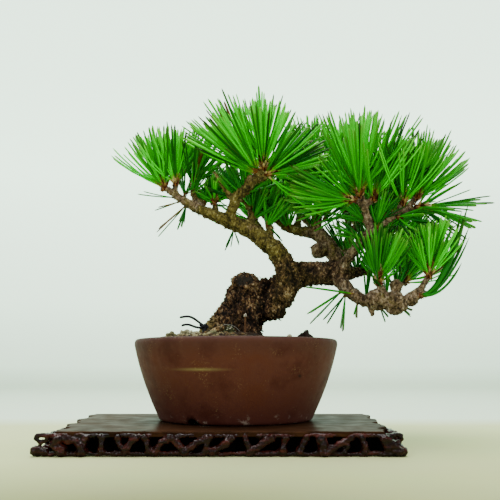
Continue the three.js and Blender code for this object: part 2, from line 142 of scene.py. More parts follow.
# %% [markdown]
# ## Material helpers
# Colours are given as the eye knows them, in sRGB hex, and one function turns them into
# the linear values that shaders use. Another adds a node with its settings and links,
# so that a material reads as a short list of what feeds what.

# %% Colours and nodes
def linear(code):
    channels = [int(code[i : i + 2], 16) / 255 for i in (1, 3, 5)]
    bent = [c / 12.92 if c <= 0.04045 else ((c + 0.055) / 1.055) ** 2.4 for c in channels]
    return (*bent, 1.0)


def plug(tree, source, socket):
    """Links an output, or a node's first output in use, to an input."""
    if isinstance(source, bpy.types.Node):
        source = next(output for output in source.outputs if output.enabled)
    tree.links.new(source, socket)


def add(tree, kind, inputs=None, stops=None, **settings):
    """Adds one shader node. Inputs are values, or the nodes or outputs that feed them."""
    made = tree.nodes.new("ShaderNode" + kind)
    for key, value in settings.items():
        setattr(made, key, value)
    for key, value in (inputs or {}).items():
        if isinstance(value, (bpy.types.Node, bpy.types.NodeSocket)):
            plug(tree, value, made.inputs[key])
        else:
            made.inputs[key].default_value = value
    if stops:
        ramp = made.color_ramp.elements
        while len(ramp) < len(stops):
            ramp.new(0.5)
        for element, (place, code) in zip(ramp, stops):
            element.position = place
            element.color = linear(code) if isinstance(code, str) else (code, code, code, 1.0)
    return made


def start_material(name, **sockets):
    """A material with its shader's plain numbers set, and its tree to build on."""
    material = bpy.data.materials.new(name)
    material.use_nodes = True
    tree = material.node_tree
    shader = tree.nodes["Principled BSDF"]
    for key, value in sockets.items():
        shader.inputs[key.replace("_", " ").title().replace("Ior", "IOR")].default_value = value
    return material, tree, shader


def per_metre(size_mm):
    """The scale at which a pattern has features of this size."""
    return 1.0 / (size_mm * MM)


def soft_spot(tree, place, shift, half_sizes, fade):
    """1 in the middle of an oval and 0 outside it. The shift brings it to the origin, in mm."""
    moved = add(tree, "Mapping", {"Vector": place, "Location": [s * MM for s in shift]})
    sized = add(tree, "Mapping", {"Vector": moved,
                                  "Scale": [per_metre(half) for half in half_sizes]})
    return add(tree, "TexGradient", {"Vector": sized}, gradient_type=fade).outputs["Fac"]


# %% [markdown]
# ## The camera
# It stands a little to the right of the pot's axis and below its rim, close in, and
# tips up by ten degrees, so that the stand shows its top as a thin sliver.

# %% Place the camera
camera_data = bpy.data.cameras.new("camera")
camera_data.lens = 46.8
camera_data.clip_start = 0.01
camera = bpy.data.objects.new("camera", camera_data)
camera.location = (POT_AXIS.x + 9.6 * MM, POT_AXIS.y - 460.6 * MM, STAND_TOP + 37.2 * MM)
camera.rotation_euler = (math.radians(100), 0, 0)
bpy.context.scene.collection.objects.link(camera)
bpy.context.scene.camera = camera
print("camera at, mm:", [round(v / MM) for v in camera.location])

# %% [markdown]
# ## Bark
# Pine bark is dead cork that splits into plates as the wood under it thickens, so old
# wood is deeply cracked and young twigs are only rough with leaf scars. A voxel remesh
# of the imported trunk gives an even skin to sculpt. How thick the wood is under each
# point is measured by a ray sent inwards, and that thickness decides how large the
# plates are and how deep the cracks go. The same numbers are kept as attributes, so
# that the colour follows the relief, with shade painted into its cracks and hollows.

# %% Measure how thick the wood is
TRUNK_VOXEL = 0.75
wood_shape = merged_copy("trunk")
wood_tree = BVHTree.FromBMesh(wood_shape)
trunk_mesh = with_modifiers(wood_shape, *voxels(TRUNK_VOXEL, 0.5, 5))


def thickness(place, normal):
    """How deep the wood is under a point, in mm."""
    start = place - normal * 0.4 * MM
    hit = wood_tree.ray_cast(start, -normal, 60 * MM)
    return (hit[3] / MM if hit[3] else 4.0) + 0.4


depths = [thickness(v.co, v.normal) for v in trunk_mesh.vertices]
print("bark vertices:", len(depths), "thickest wood, mm:", round(max(depths)))

# %% [markdown]
# The depth is blurred over neighbours first, because a ray that slips past an edge
# would otherwise leave a spike. Old wood is then told from young by its place too: the
# stump and the first stretch of the right limb are the darkest and roughest.

# %% Blur the depths and tell old wood from young
def neighbour_blur(mesh, values, rounds):
    for _ in range(rounds):
        total = list(values)
        count = [1] * len(values)
        for edge in mesh.edges:
            a, b = edge.vertices
            total[a] += values[b]
            total[b] += values[a]
            count[a] += 1
            count[b] += 1
        values = [t / c for t, c in zip(total, count)]
    return values


def segment_share(place, start, end, reach):
    """1 on the line from start to end, falling to 0 at reach from it, in mm over the rim."""
    origin = Vector((POT_AXIS.x, POT_AXIS.y, RIM))
    point = (place - origin) / MM
    a, b = Vector(start), Vector(end)
    along = min(max((point - a).dot(b - a) / (b - a).length_squared, 0.0), 1.0)
    return 1.0 - smooth_step(0.6 * reach, reach, (point - a.lerp(b, along)).length)


def oldness(place):
    stump = segment_share(place, (0, 0, -10), (8, -2, 36), 30)
    behind = segment_share(place, (18, 4, 20), (22, 4, 42), 14)
    limb = segment_share(place, (42, 3, 46), (84, 8, 47), 17) * 0.75
    bend = segment_share(place, (22, -4, 20), (37, -9, 46), 17) * 0.75
    return max(stump, behind, limb, bend)


depths = neighbour_blur(trunk_mesh, depths, 4)
ages = [oldness(v.co) for v in trunk_mesh.vertices]
ages = neighbour_blur(trunk_mesh, ages, 3)
print("share of old bark:", round(sum(ages) / len(ages), 2))

# %% [markdown]
# Plates come from a cell pattern: the distance between the nearest and second nearest
# cell centre is small along the cracks and large in a plate's middle. The coordinates
# are warped so that no crack runs straight, and squeezed upwards so that plates are
# longer than wide. A slow noise lets the cracks fade out here and there, because
# evenly cracked bark would look like tiles. Ridges and flakes come on top of that, and
# the old saw cut on the stump's knob is pressed flat. A tone is kept too, and it is
# mostly painted shade: dark in the cracks, the pits and the deep fold at the front, and
# on the side under the wood and at its right, away from the light; pale flakes lift it.

# %% Sculpt the plates and cracks
RIM_CENTRE = Vector((POT_AXIS.x, POT_AXIS.y, RIM))
SCAR = RIM_CENTRE + Vector((6, -12, 41.5)) * MM
SCAR_RADIUS = 8 * MM
# The side under the wood and at its right, turned away from the light, gets painted shade.
SHADED_SIDE = Vector((0.4, 0.0, -0.92))


def front_crevice(place):
    """1 in the deep fold between stump and bend, which opens to the front, else 0."""
    x, y, z = (place - RIM_CENTRE) / MM
    if y > 2 or z > 44:
        return 0.0
    middle = 16.5 + 0.1 * z + 1.5 * math.sin(z / 5)
    wide = 5.5 if z < 14 else 3.6
    return (1.0 - smooth_step(0.35, 1.0, abs(x - middle) / wide)) * smooth_step(44, 36, z)


def bark_relief(place, normal, depth, age):
    """Height of the bark in mm, its tone, which is painted shade in cracks, pits, the front fold and on
    the side away from the light, and the scar's share.
    """
    cell = (2.4 + 2.4 * age) * MM
    warp = wander(place / (6.0 * MM)) * 0.8 + wander(place / (1.8 * MM)) * 0.3
    point = Vector((place.x, place.y, place.z * (0.7 - 0.25 * age))) / cell + warp
    near = noise.voronoi(point)[0]
    crack = 1.0 - smooth_step(0.02, 0.3, near[1] - near[0])
    crack *= smooth_step(-0.3, 0.3, noise.noise(place / (4.0 * MM)) + 0.3 * age)
    ridge = 1.0 - 2.2 * abs(noise.noise(point * 1.9))
    flake = noise.fractal(Vector((place.x, place.y, place.z * 0.6)) / (1.1 * MM), 0.8, 2.1, 3)
    swell = noise.noise(place / (10.0 * MM)) + 0.5 * noise.noise(place / (5.0 * MM))
    pit = smooth_step(0.12, 0.5, noise.noise(place / (7.0 * MM) + Vector((3.1, 0, 0)))) * age
    size = min(max(depth * 0.05, 0.2), 1.0) * (0.5 + 0.9 * age)
    height = size * (0.35 - 1.3 * crack + 0.35 * ridge + 0.7 * flake + 0.8 * swell - 1.1 * pit)
    knobs = max(noise.noise(place / (3.4 * MM)), 0.0) * (1.0 - age) * smooth_step(2.5, 5.0, depth)
    height += 1.5 * knobs
    crevice = front_crevice(place)
    height -= 1.8 * crevice
    off = place - SCAR
    scar = 1.0 - smooth_step(0.75, 1.0, Vector((off.x, off.y, off.z * 1.45)).length / SCAR_RADIUS)
    height = height * (1.0 - 0.75 * scar) - 0.9 * scar
    # Painted shade on the side under the wood and at its right, away from the light.
    side_shade = smooth_step(-0.1, 0.85, normal.dot(SHADED_SIDE))
    tone = (1.0 - 0.8 * crack + 0.35 * flake - 0.55 * pit - 0.9 * crevice) * (1.0 - 0.58 * side_shade)
    tone = min(max(tone, 0.0), 1.0)
    return height, tone, scar


reliefs = [bark_relief(v.co, v.normal, d, a) for v, d, a in zip(trunk_mesh.vertices, depths, ages)]
normals = [v.normal.copy() for v in trunk_mesh.vertices]
for vertex, normal, relief in zip(trunk_mesh.vertices, normals, reliefs):
    vertex.co += normal * relief[0] * MM
bark_marks = trunk_mesh.attributes.new("bark", "FLOAT_COLOR", "POINT")
for i, ((height, tone, scar), age) in enumerate(zip(reliefs, ages)):
    bark_marks.data[i].color = (age, tone, scar, 1.0)
print("deepest crack, mm:", round(min(r[0] for r in reliefs), 2))

# %% [markdown]
# ### Bark colours
# The cork is red-brown to black on the stump, olive where thin lichen covers the bend
# and the main branch, and grey-tan on the lowest branch and the twigs. Cracks, pits
# and the side under the wood are darkened with painted shade, so the cracks come out
# almost black; plates have pale, weathered flakes, and slow blotches join them into
# larger patches. Both far ends of the tree are paler. The saw cut has weathered to dark
# grey-brown. Nothing here shines.

# %% Bark material
def make_bark():
    material, tree, shader = start_material("pine_bark", roughness=0.9, specular_ior_level=0.2)
    marks = add(tree, "Attribute", attribute_name="bark")
    split = add(tree, "SeparateColor", {"Color": marks})
    age, tone, scar = split.outputs[0], split.outputs[1], split.outputs[2]
    place = add(tree, "TexCoord").outputs["Object"]
    across = add(tree, "SeparateXYZ", {"Vector": place}).outputs["X"]
    patch = add(tree, "TexNoise", {"Vector": place, "Scale": per_metre(11), "Detail": 4.0,
                                   "Roughness": 0.6})
    upright = add(tree, "Mapping", {"Vector": place, "Scale": (1.0, 1.0, 0.65)})
    fleck = add(tree, "TexNoise", {"Vector": upright, "Scale": per_metre(1.7), "Detail": 6.0,
                                   "Roughness": 0.8})
    blotch = add(tree, "TexNoise", {"Vector": upright, "Scale": per_metre(5.5), "Detail": 3.0,
                                    "Roughness": 0.6})
    spots = add(tree, "Mix", {"Factor": 0.3, "A": fleck, "B": blotch})
    old = add(tree, "ValToRGB", {"Fac": spots},
              stops=[(0.42, "#0a0705"), (0.482, "#2d1e14"), (0.53, "#61422a"), (0.57, "#94764f"),
                     (0.65, "#d2c4a6")])
    olive = add(tree, "ValToRGB", {"Fac": spots},
                stops=[(0.4, "#1b1609"), (0.465, "#4c421b"), (0.53, "#70632d"), (0.585, "#8f844c"),
                       (0.65, "#cbc5a0")])
    tan = add(tree, "ValToRGB", {"Fac": spots},
              stops=[(0.4, "#1e150c"), (0.465, "#5c4a33"), (0.53, "#86715a"), (0.585, "#a5947c"),
                     (0.65, "#d6cbba")])
    right = add(tree, "MapRange", {"Value": across, "From Min": RIM_CENTRE.x + 40 * MM,
                                   "From Max": RIM_CENTRE.x + 62 * MM, "To Min": -0.16,
                                   "To Max": 0.12})
    left = add(tree, "MapRange", {"Value": across, "From Min": RIM_CENTRE.x - 18 * MM,
                                  "From Max": RIM_CENTRE.x - 42 * MM, "To Max": 0.22})
    ends = add(tree, "Math", {0: left, 1: right}, operation="ADD")
    mossy = add(tree, "Math", {0: patch, 1: ends}, operation="ADD")
    lichen = add(tree, "MapRange", {"Value": mossy, "From Min": 0.42, "From Max": 0.56})
    young = add(tree, "Mix", {0: lichen, 6: olive, 7: tan}, data_type="RGBA")
    ageing = add(tree, "Math", {0: patch, 1: 0.5, 2: -0.25}, operation="MULTIPLY_ADD")
    aged = add(tree, "Math", {0: age, 1: ageing}, operation="ADD", use_clamp=True)
    whole = add(tree, "Mix", {0: aged, 6: young, 7: old}, data_type="RGBA")
    cut = add(tree, "Mix", {0: scar, 6: whole, 7: linear("#29241d")}, data_type="RGBA")
    # The kept tone darkens the colour: painted shade in the cracks, pits and front fold, and on the side
    # away from the light.
    crack = add(tree, "MapRange", {"Value": tone, "From Min": 0.1, "From Max": 0.8, "To Min": 0.12,
                                   "To Max": 1.0})
    shaded = add(tree, "Mix", {0: 1.0, 6: cut, 7: crack}, data_type="RGBA", blend_type="MULTIPLY")
    plug(tree, shaded, shader.inputs["Base Color"])
    bump = add(tree, "Bump", {"Height": fleck, "Strength": 0.7, "Distance": 0.6 * MM})
    plug(tree, bump, shader.inputs["Normal"])
    return material


bark = make_bark()
trunk = finish_piece("trunk_with_bark", trunk_mesh, bark, ["trunk"])
print("trunk faces:", len(trunk.data.polygons))

# %% [markdown]
# ## Needles
# A black pine's needles grow in pairs from a papery sheath, set in a spiral round the
# last stretch of each shoot. The lowest pairs stand out sideways and the top ones point
# ahead, and that is what makes the brush shape. A needle is repeated thousands of
# times, so it is one four-sided spike with five steps along it, bent a little as it is
# set in place.

# %% One needle, one sheath and one scale
def spike(sides, rings, flat=1.0):
    """A closed spike from z 0 to 1. Each ring is (height, half width), flat squeezes it."""
    shape = bmesh.new()
    bmesh.ops.create_cone(shape, cap_ends=True, segments=sides, radius1=1, radius2=1, depth=1)
    bmesh.ops.translate(shape, verts=shape.verts, vec=(0, 0, 0.5))
    upright = [e for e in shape.edges if abs(e.verts[0].co.z - e.verts[1].co.z) > 0.5]
    steps = len(rings) - 1
    bmesh.ops.subdivide_edges(shape, edges=upright, cuts=steps - 1, use_grid_fill=True)
    for vertex in shape.verts:
        height, width = rings[round(vertex.co.z * steps)]
        vertex.co = Vector((vertex.co.x * width, vertex.co.y * width * flat, height))
    bmesh.ops.recalc_face_normals(shape, faces=shape.faces)
    mesh = bpy.data.meshes.new("spike")
    shape.to_mesh(mesh)
    shape.free()
    return mesh


NEEDLE = spike(4, [(0, 0.8), (0.3, 1.0), (0.6, 1.06), (0.85, 1.04), (0.965, 0.85), (1, 0.2)], 0.7)
LONG_NEEDLE = spike(4, [(i / 12, 1.0 if i < 10 else (1.0, 0.7, 0.15)[i - 10])
                        for i in range(13)], 0.7)
SHEATH = spike(5, [(0, 0.95), (0.6, 1.05), (1, 0.7)])
SCALE = spike(4, [(0, 0.9), (0.45, 0.8), (1, 0.06)], 0.6)
print("faces of a needle:", len(NEEDLE.polygons))


# %% Set copies of a spike into one growing mesh
class Brush:
    """Gathers spikes, each bent along its own arc, and keeps what each one is."""

    def __init__(self, seed, mark="needle"):
        self.shape = bmesh.new()
        self.marks = self.shape.verts.layers.float_color.new(mark)
        self.rng = random.Random(seed)

    def plant(self, template, root, way, length, width, bend=Vector(), kind=0.0, tone=0.5):
        """One spike from root along way, with its tip carried off by bend (metres)."""
        turn = way.to_track_quat("Z", "Y") @ Quaternion((0, 0, 1), self.rng.uniform(0, 6.3))
        before = len(self.shape.verts)
        self.shape.from_mesh(template)
        self.shape.verts.ensure_lookup_table()
        leans = {}
        for vertex in self.shape.verts[before:]:
            along = vertex.co.z
            if along not in leans:
                leans[along] = way.rotation_difference(way * length + bend * 2 * along)
            across = leans[along] @ (turn @ Vector((vertex.co.x, vertex.co.y, 0)) * width)
            vertex.co = root + way * length * along + bend * along * along + across
            vertex[self.marks] = (tone, along, kind, 1.0)


# %% [markdown]
# Each packed tuft is a plain shuttlecock. Its narrow end is the flat face that lies
# farthest from its centre, and the line from there through its centre is the way that
# the shoot points. So the needles find their own place, length and spread.

# %% Read a tuft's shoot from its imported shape
def read_tuft(node):
    shape = merged_copy(node)
    centre, total = Vector(), 0.0
    for face in shape.faces:
        for loop in face.loops:
            centre += loop.vert.co * face.calc_area()
        total += 3 * face.calc_area()
    centre /= total
    reach = [(f.normal.dot(f.calc_center_median() - centre), f) for f in shape.faces]
    far = max(r for r, _ in reach)
    base_faces = [f for r, f in reach if r > 0.98 * far]
    base = sum((f.calc_center_median() * f.calc_area() for f in base_faces), Vector())
    base /= sum(f.calc_area() for f in base_faces)
    way = (centre - base).normalized()
    ups = [(v.co - base).dot(way) for v in shape.verts]
    outs = sorted(((v.co - base) - way * up).length for v, up in zip(shape.verts, ups))
    length, spread = max(ups), outs[int(0.8 * len(outs))]
    shape.free()
    return base, way, length, spread


tufts = {name: read_tuft(name) for name in sorted(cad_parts) if name.startswith("needles_")}
for name, (base, way, length, spread) in tufts.items():
    print(name, [round(v / MM) for v in base], [round(v, 2) for v in way],
          round(length / MM), round(spread / MM))

# %% [markdown]
# A tuft is grown from the shoot's foot to its tip. A pair low on the shoot leaves it at
# a wide angle and a pair near the tip at a narrow one. The outer needles leave sideways
# and curve back up, a few hang or stray, and one pair in a hundred has dried to brown.
# Under the needles the shoot is dressed with brown bud scales and old sheaths. Most
# tufts share the same habit, and some have their own.

# %% Grow a tuft
# How light each tuft's needles come out is painted light and shade: lighter on the crown and the tips
# that face the light, darker on the low, inner and back tufts.
USUAL_HABIT = {"pairs": 46, "opening": 1.05, "lift": 0.13, "cup": 0.24, "dry": 0.01, "reach": 0.88,
               "shoot": 11, "painted_light": 1.0, "shift": (0, 0, 0)}
HABITS = {
    "needles_crown": {"pairs": 70, "opening": 1.32, "reach": 0.7, "shoot": 17, "cup": 0.3,
                      "painted_light": 1.45},
    "needles_crown_left": {"pairs": 50, "opening": 1.0, "dry": 0.07, "reach": 1.0, "shift": (5.5, 0, 0),
                           "ahead": (-0.66, -0.08, 0.75), "painted_light": 1.4},
    "needles_crown_right": {"opening": 1.2, "lift": 0.03, "shift": (-2, 0, 2.5), "painted_light": 0.8},
    "needles_left_tip": {"pairs": 52, "opening": 1.1, "cup": 0.34, "reach": 0.84, "painted_light": 1.3,
                         "ahead": (-0.36, -0.04, 0.93)},
    "needles_left_upper": {"pairs": 50, "opening": 1.15, "reach": 0.84, "cup": 0.3, "painted_light": 1.3},
    "needles_left_inner": {"pairs": 30, "painted_light": 0.7},
    "needles_left_back": {"pairs": 26, "painted_light": 0.5},
    "needles_left_small": {"pairs": 26, "painted_light": 0.7},
    "needles_top": {"pairs": 64, "opening": 1.3, "shoot": 14, "reach": 0.86, "cup": 0.3, "dry": 0,
                    "painted_light": 1.0},
    "needles_top_left": {"painted_light": 0.7},
    "needles_top_right": {"dry": 0, "painted_light": 0.95},
    "needles_right_tip": {"pairs": 54, "opening": 1.2, "reach": 0.84, "cup": 0.3, "dry": 0,
                          "painted_light": 0.75},
    "needles_right_upper": {"dry": 0},
    "needles_right_low": {"pairs": 22, "opening": 1.75, "reach": 0.85, "lift": -0.08, "cup": 0.1,
                          "painted_light": 0.4},
    "needles_low_tip": {"pairs": 52, "opening": 1.2, "shoot": 15, "reach": 0.64, "painted_light": 1.5},
    "needles_low_middle": {"pairs": 36, "opening": 1.3, "reach": 0.72, "painted_light": 0.75},
    "needles_back_top": {"dry": 0},
    "needles_back_right": {"dry": 0},
}
SWEPT = "needles_low_sweep"
# How far each needle of the swept bundle has bent by its tip, in mm.
SWEPT_BENDS = [(6, 0, 76), (2, 2, 71), (5, -3, 53), (0, 2, 35), (3, -2, 66), (7, 3, 60)]


def perpendicular(way):
    return way.cross(Vector((0.3, 0.1, 1.0)) if abs(way.z) < 0.9 else Vector((1, 0, 0))).normalized()


# Radians from one bud scale or pair to the next: a pine's are set as on a cone.
GOLDEN_TURN = 2.39996


def dress_shoot(brush, base, way, length, thick):
    """Bud scales and old sheaths round the shoot, thickest at its foot."""
    rng = brush.rng
    side = perpendicular(way)
    for i in range(85):
        height = rng.random() ** 1.4
        out = Quaternion(way, i * GOLDEN_TURN) @ side
        flare = rng.uniform(0.25, 1.1)
        ahead = (way + out * flare).normalized()
        root = base + way * (height * length - 1.6 * MM) + out * thick * (1.0 - 0.55 * height) * 0.7
        brush.plant(SCALE, root, ahead, rng.uniform(1.8, 4.0) * MM, rng.uniform(0.45, 0.85) * MM,
                    kind=0.75, tone=rng.random())
    brush.plant(SCALE, base - way * 1.2 * MM, way, length + 4 * MM, thick, kind=0.75, tone=0.3)


def grow_tuft(name, seed):
    base, way, length, spread = tufts[name]
    habit = {**USUAL_HABIT, **HABITS.get(name, {})}
    way = Vector(habit.get("ahead", way)).normalized()
    base = base + Vector(habit["shift"]) * MM
    brush = Brush(seed)
    rng = brush.rng
    side = perpendicular(way)
    up = Vector((0, 0, 1))
    widest = (math.atan2(spread, 0.8 * length) * 1.15 + 0.3) * habit["opening"]
    shoot = min(habit["shoot"] * MM, 0.32 * length)
    for i in range(habit["pairs"]):
        height = (i + 0.5) / habit["pairs"]
        around = i * GOLDEN_TURN + rng.uniform(-0.45, 0.45)
        opening = widest * (1.0 - 0.93 * height ** 1.1) + rng.gauss(0, 0.12)
        if rng.random() < 0.06:
            opening += rng.uniform(0.25, 0.8)
        out = Quaternion(way, around) @ side
        ahead = (way * math.cos(opening) + out * math.sin(opening)).normalized()
        root = base + way * (height * shoot + 0.5 * MM) + out * 0.9 * MM
        # Each needle's own tone, scaled by its tuft's painted light.
        tone = min(rng.random() * habit["painted_light"], 1.0)
        dry = 1.0 if rng.random() < habit["dry"] else 0.0
        size = length * habit["reach"] * rng.uniform(0.8, 1.05) * (1.0 - 0.12 * height)
        if rng.random() < 0.08:
            size *= 1.14
        brush.plant(SHEATH, root, ahead, rng.uniform(2.6, 4.6) * MM, 0.95 * MM, kind=0.5,
                    tone=rng.random())
        fork = Quaternion(ahead, rng.uniform(0, 6.3)) @ perpendicular(ahead)
        for half in (-1, 1):
            lean = (ahead + fork * half * rng.uniform(0.03, 0.13)).normalized()
            rise = habit["lift"] * rng.uniform(0.3, 1.3)
            bend = up * rise * size * (1.0 - 0.6 * abs(ahead.z))
            bend += way * habit["cup"] * abs(math.sin(opening)) * size
            bend += out * rng.uniform(-0.07, 0.07) * size
            brush.plant(NEEDLE, root + ahead * 1.6 * MM, lean, size * rng.uniform(0.93, 1.03),
                        rng.uniform(0.72, 0.9) * MM, bend, kind=dry, tone=tone)
    dress_shoot(brush, base, way, shoot + 1.5 * MM, 2.3 * MM)
    return brush.shape


def grow_swept_bundle(seed):
    """Long needles that leave their twig together and sweep up in one wide curve."""
    brush = Brush(seed)
    way = Vector((32, -4, -14)).normalized()
    foot = tufts[SWEPT][0] - way * 4 * MM
    for number, bend in enumerate(SWEPT_BENDS):
        aside = Vector((-2, 0.6 * (number % 3 - 1), 0.7 * (number % 2) - 0.35)) * MM
        brush.plant(LONG_NEEDLE, foot + aside, way, 35 * MM, 1.25 * MM, Vector(bend) * MM, tone=0.12)
    dress_shoot(brush, foot, way, 3 * MM, 2.0 * MM)
    return brush.shape


# %% [markdown]
# ### Needle colours
# A needle is waxy: it has a soft gloss, and a real one lets a little light through,
# which this material leaves out. It is yellower near its sheath, bright green along its
# length and a touch dry at its tip, and no two are quite the same green. The marks kept
# on each needle say which of its parts a point belongs to.

# %% Needle material
def make_needle_skin():
    material, tree, shader = start_material("waxy_pine_needle", roughness=0.42, ior=1.45,
                                            specular_ior_level=0.18)
    marks = add(tree, "Attribute", attribute_name="needle")
    split = add(tree, "SeparateColor", {"Color": marks})
    tone, along, kind = split.outputs[0], split.outputs[1], split.outputs[2]
    dark = add(tree, "ValToRGB", {"Fac": along},
               stops=[(0.0, "#7aa814"), (0.12, "#055a0a"), (0.8, "#034406"), (1.0, "#28440c")])
    light = add(tree, "ValToRGB", {"Fac": along},
                stops=[(0.0, "#ccdf44"), (0.16, "#34f41a"), (0.6, "#32f018"), (0.86, "#50ec28"),
                       (1.0, "#78d83c")])
    # The tone picks between the dark and light greens: partly each needle's own green, partly painted
    # light and shade set per tuft.
    green = add(tree, "Mix", {0: tone, 6: dark, 7: light}, data_type="RGBA")
    dried = add(tree, "ValToRGB", {"Fac": along},
                stops=[(0.0, "#4a5a10"), (0.4, "#7a5212"), (1.0, "#4a2a10")])
    papery = add(tree, "ValToRGB", {"Fac": tone},
                 stops=[(0.0, "#3a1d0c"), (0.35, "#6b4420"), (0.7, "#a8884c"), (1.0, "#cdb987")])
    scaly = add(tree, "ValToRGB", {"Fac": tone},
                stops=[(0.0, "#1c0a05"), (0.4, "#55230f"), (0.65, "#86491f"), (0.85, "#a87c48"),
                       (1.0, "#c8ac80")])
    is_sheath = add(tree, "Math", {0: kind, 1: 0.4}, operation="GREATER_THAN")
    is_scale = add(tree, "Math", {0: kind, 1: 0.6}, operation="GREATER_THAN")
    is_dry = add(tree, "Math", {0: kind, 1: 0.9}, operation="GREATER_THAN")
    first = add(tree, "Mix", {0: is_sheath, 6: green, 7: papery}, data_type="RGBA")
    second = add(tree, "Mix", {0: is_scale, 6: first, 7: scaly}, data_type="RGBA")
    third = add(tree, "Mix", {0: is_dry, 6: second, 7: dried}, data_type="RGBA")
    plug(tree, third, shader.inputs["Base Color"])
    return material


needle_skin = make_needle_skin()
needle_count = 0
for number, name in enumerate(sorted(tufts)):
    shape = grow_swept_bundle(100 + number) if name == SWEPT else grow_tuft(name, 100 + number)
    grown = finish_piece(name.replace("needles_", "tuft_"), shape, needle_skin, [name])
    needle_count += len(grown.data.polygons) // len(NEEDLE.polygons)
print("tufts:", len(tufts), "about", needle_count, "needles")

# %% [markdown]
# ### Strays and leaf scars
# Single pairs of needles also sprout from old wood and hang under the branches, and
# every twig is rough with the stubs of fallen sheaths. The strays are few and are
# placed one by one, each on the wood nearest to a chosen point. The stubs and the loose
# bark flakes are spread by chance over the wood's surface, small on twigs and broad on
# the stump, and lie almost flat on it.

# %% Needles that hang from old wood
STRAYS = [
    # point over the rim's middle in mm, way that the needles point, pairs, length in mm
    ((-37, -6, 94), (-0.75, -0.2, -0.75), 2, 30), ((-37, -6, 94), (-0.1, -0.2, -1), 3, 19),
    ((-46, -4, 99), (-1, -0.1, 0.05), 1, 26), ((-42, -4, 97), (-0.9, -0.3, -0.5), 1, 18),
    ((-3, -8, 75), (-0.3, -0.3, -1), 2, 17), ((-3, -8, 75), (0.35, -0.2, -1), 1, 14),
    ((24, -6, 80), (0.5, -0.3, -0.9), 2, 14), ((80, -18, 32), (-0.93, -0.25, 0.33), 1, 36),
    ((75, -4, 35), (-0.8, -0.3, -0.62), 3, 30), ((77, -4, 32), (-0.4, -0.3, -1), 3, 27),
    ((84, -6, 24), (-0.1, -0.3, -1), 2, 12), ((100, -8, 20), (0.3, -0.3, -1), 2, 10),
    ((112, -8, 24), (0.8, -0.2, -0.6), 3, 12), ((92, -4, 30), (-0.3, -0.5, 1), 2, 22),
]


def grow_strays():
    brush = Brush(7)
    rng = brush.rng
    for point, way, pairs, length in STRAYS:
        root = wood_tree.find_nearest(RIM_CENTRE + Vector(point) * MM)[0]
        for _ in range(pairs):
            astray = Vector([rng.gauss(0, 0.14) for _ in range(3)])
            ahead = (Vector(way).normalized() + astray).normalized()
            # A low tone: painted shade, as these needles hang under the branches.
            tone = rng.random() * 0.3
            brush.plant(SHEATH, root, ahead, 2.5 * MM, 0.8 * MM, kind=0.5, tone=rng.random())
            for half in (-1, 1):
                fork = perpendicular(ahead) * half * rng.uniform(0.05, 0.16)
                sag = Vector((0, 0, rng.uniform(-0.05, 0.1))) * length * MM
                brush.plant(NEEDLE, root, (ahead + fork).normalized(),
                            length * rng.uniform(0.85, 1.1) * MM, 0.64 * MM, sag, tone=tone,
                            kind=1.0 if rng.random() < 0.12 else 0.0)
    return brush.shape


finish_piece("stray_needles", grow_strays(), needle_skin)

# %% [markdown]
# Inside the crown the shade is full of short shoots that never reached the light, and their dark tones
# are painted shade.
# They hide most of the twigs, so a tree without them looks bare. Each one is a small
# brush on the wood nearest to its point, with a few brown scales at its foot.

# %% Short dark shoots inside the crown
SIDE_SHOOTS = [
    # point over the rim's middle in mm, way that the shoot points, pairs, length in mm
    ((-15, -8, 95), (-0.6, -0.1, 1), 7, 15), ((-31, -5, 104), (0.5, 0.1, 1), 9, 19),
    ((-38, -8, 101), (0.3, 0.2, 1), 7, 17), ((-24, -8, 94), (0.1, 0.2, 1), 6, 15),
    ((0, -16, 97), (-0.7, 0.2, 0.8), 10, 23), ((4, -18, 101), (-0.3, 0.4, 1), 10, 27),
    ((8, -16, 100), (0.6, 0.2, 0.7), 9, 24), ((10, -2, 93), (-0.1, 0, 1), 11, 27),
    ((10, -5, 86), (0.6, -0.1, 1), 10, 23), ((22, -3, 80), (0.5, -0.1, 1), 12, 26),
    ((21, 3, 88), (-0.3, 0.1, 1), 9, 28), ((30, 21, 90), (0.1, -0.2, 1), 11, 30),
    ((40, 20, 84), (-0.2, -0.2, 1), 10, 28), ((46, 22, 90), (0.2, -0.3, 1), 10, 32),
    ((61, 17, 92), (-0.7, -0.4, 0.6), 10, 26), ((62, 17, 104), (-0.6, -0.4, 0.8), 11, 28),
    ((61, 17, 88), (0.7, -0.3, 0.5), 8, 23), ((59, 17, 84), (0.2, -0.6, 0.9), 8, 22),
    ((90, -10, 70), (-0.8, 0.1, 0.5), 7, 21), ((93, -12, 82), (-0.7, 0.2, 0.7), 9, 24),
    ((94, -12, 80), (0.7, 0.2, 0.8), 12, 25), ((98, -12, 77), (0.4, 0.1, 1), 10, 27),
    ((106, -12, 83), (-0.2, 0.2, 1), 12, 27), ((112, -12, 86), (0.5, -0.2, -0.2), 7, 22),
    ((118, -10, 90), (0.9, 0.1, -0.1), 8, 28), ((104, 21, 78), (-0.4, -0.4, 1), 12, 30),
    ((99, 19, 62), (0.3, -0.4, 1), 12, 30), ((106, 20, 56), (0.3, -0.3, 1), 11, 28),
    ((90, 14, 50), (0, -0.3, 1), 11, 26), ((112, -10, 33), (0.2, 0.4, 1), 9, 22),
    ((104, -14, 28), (-0.2, -0.3, 0.9), 5, 14), ((80, 24, 66), (-0.4, -0.2, 1), 10, 26),
]


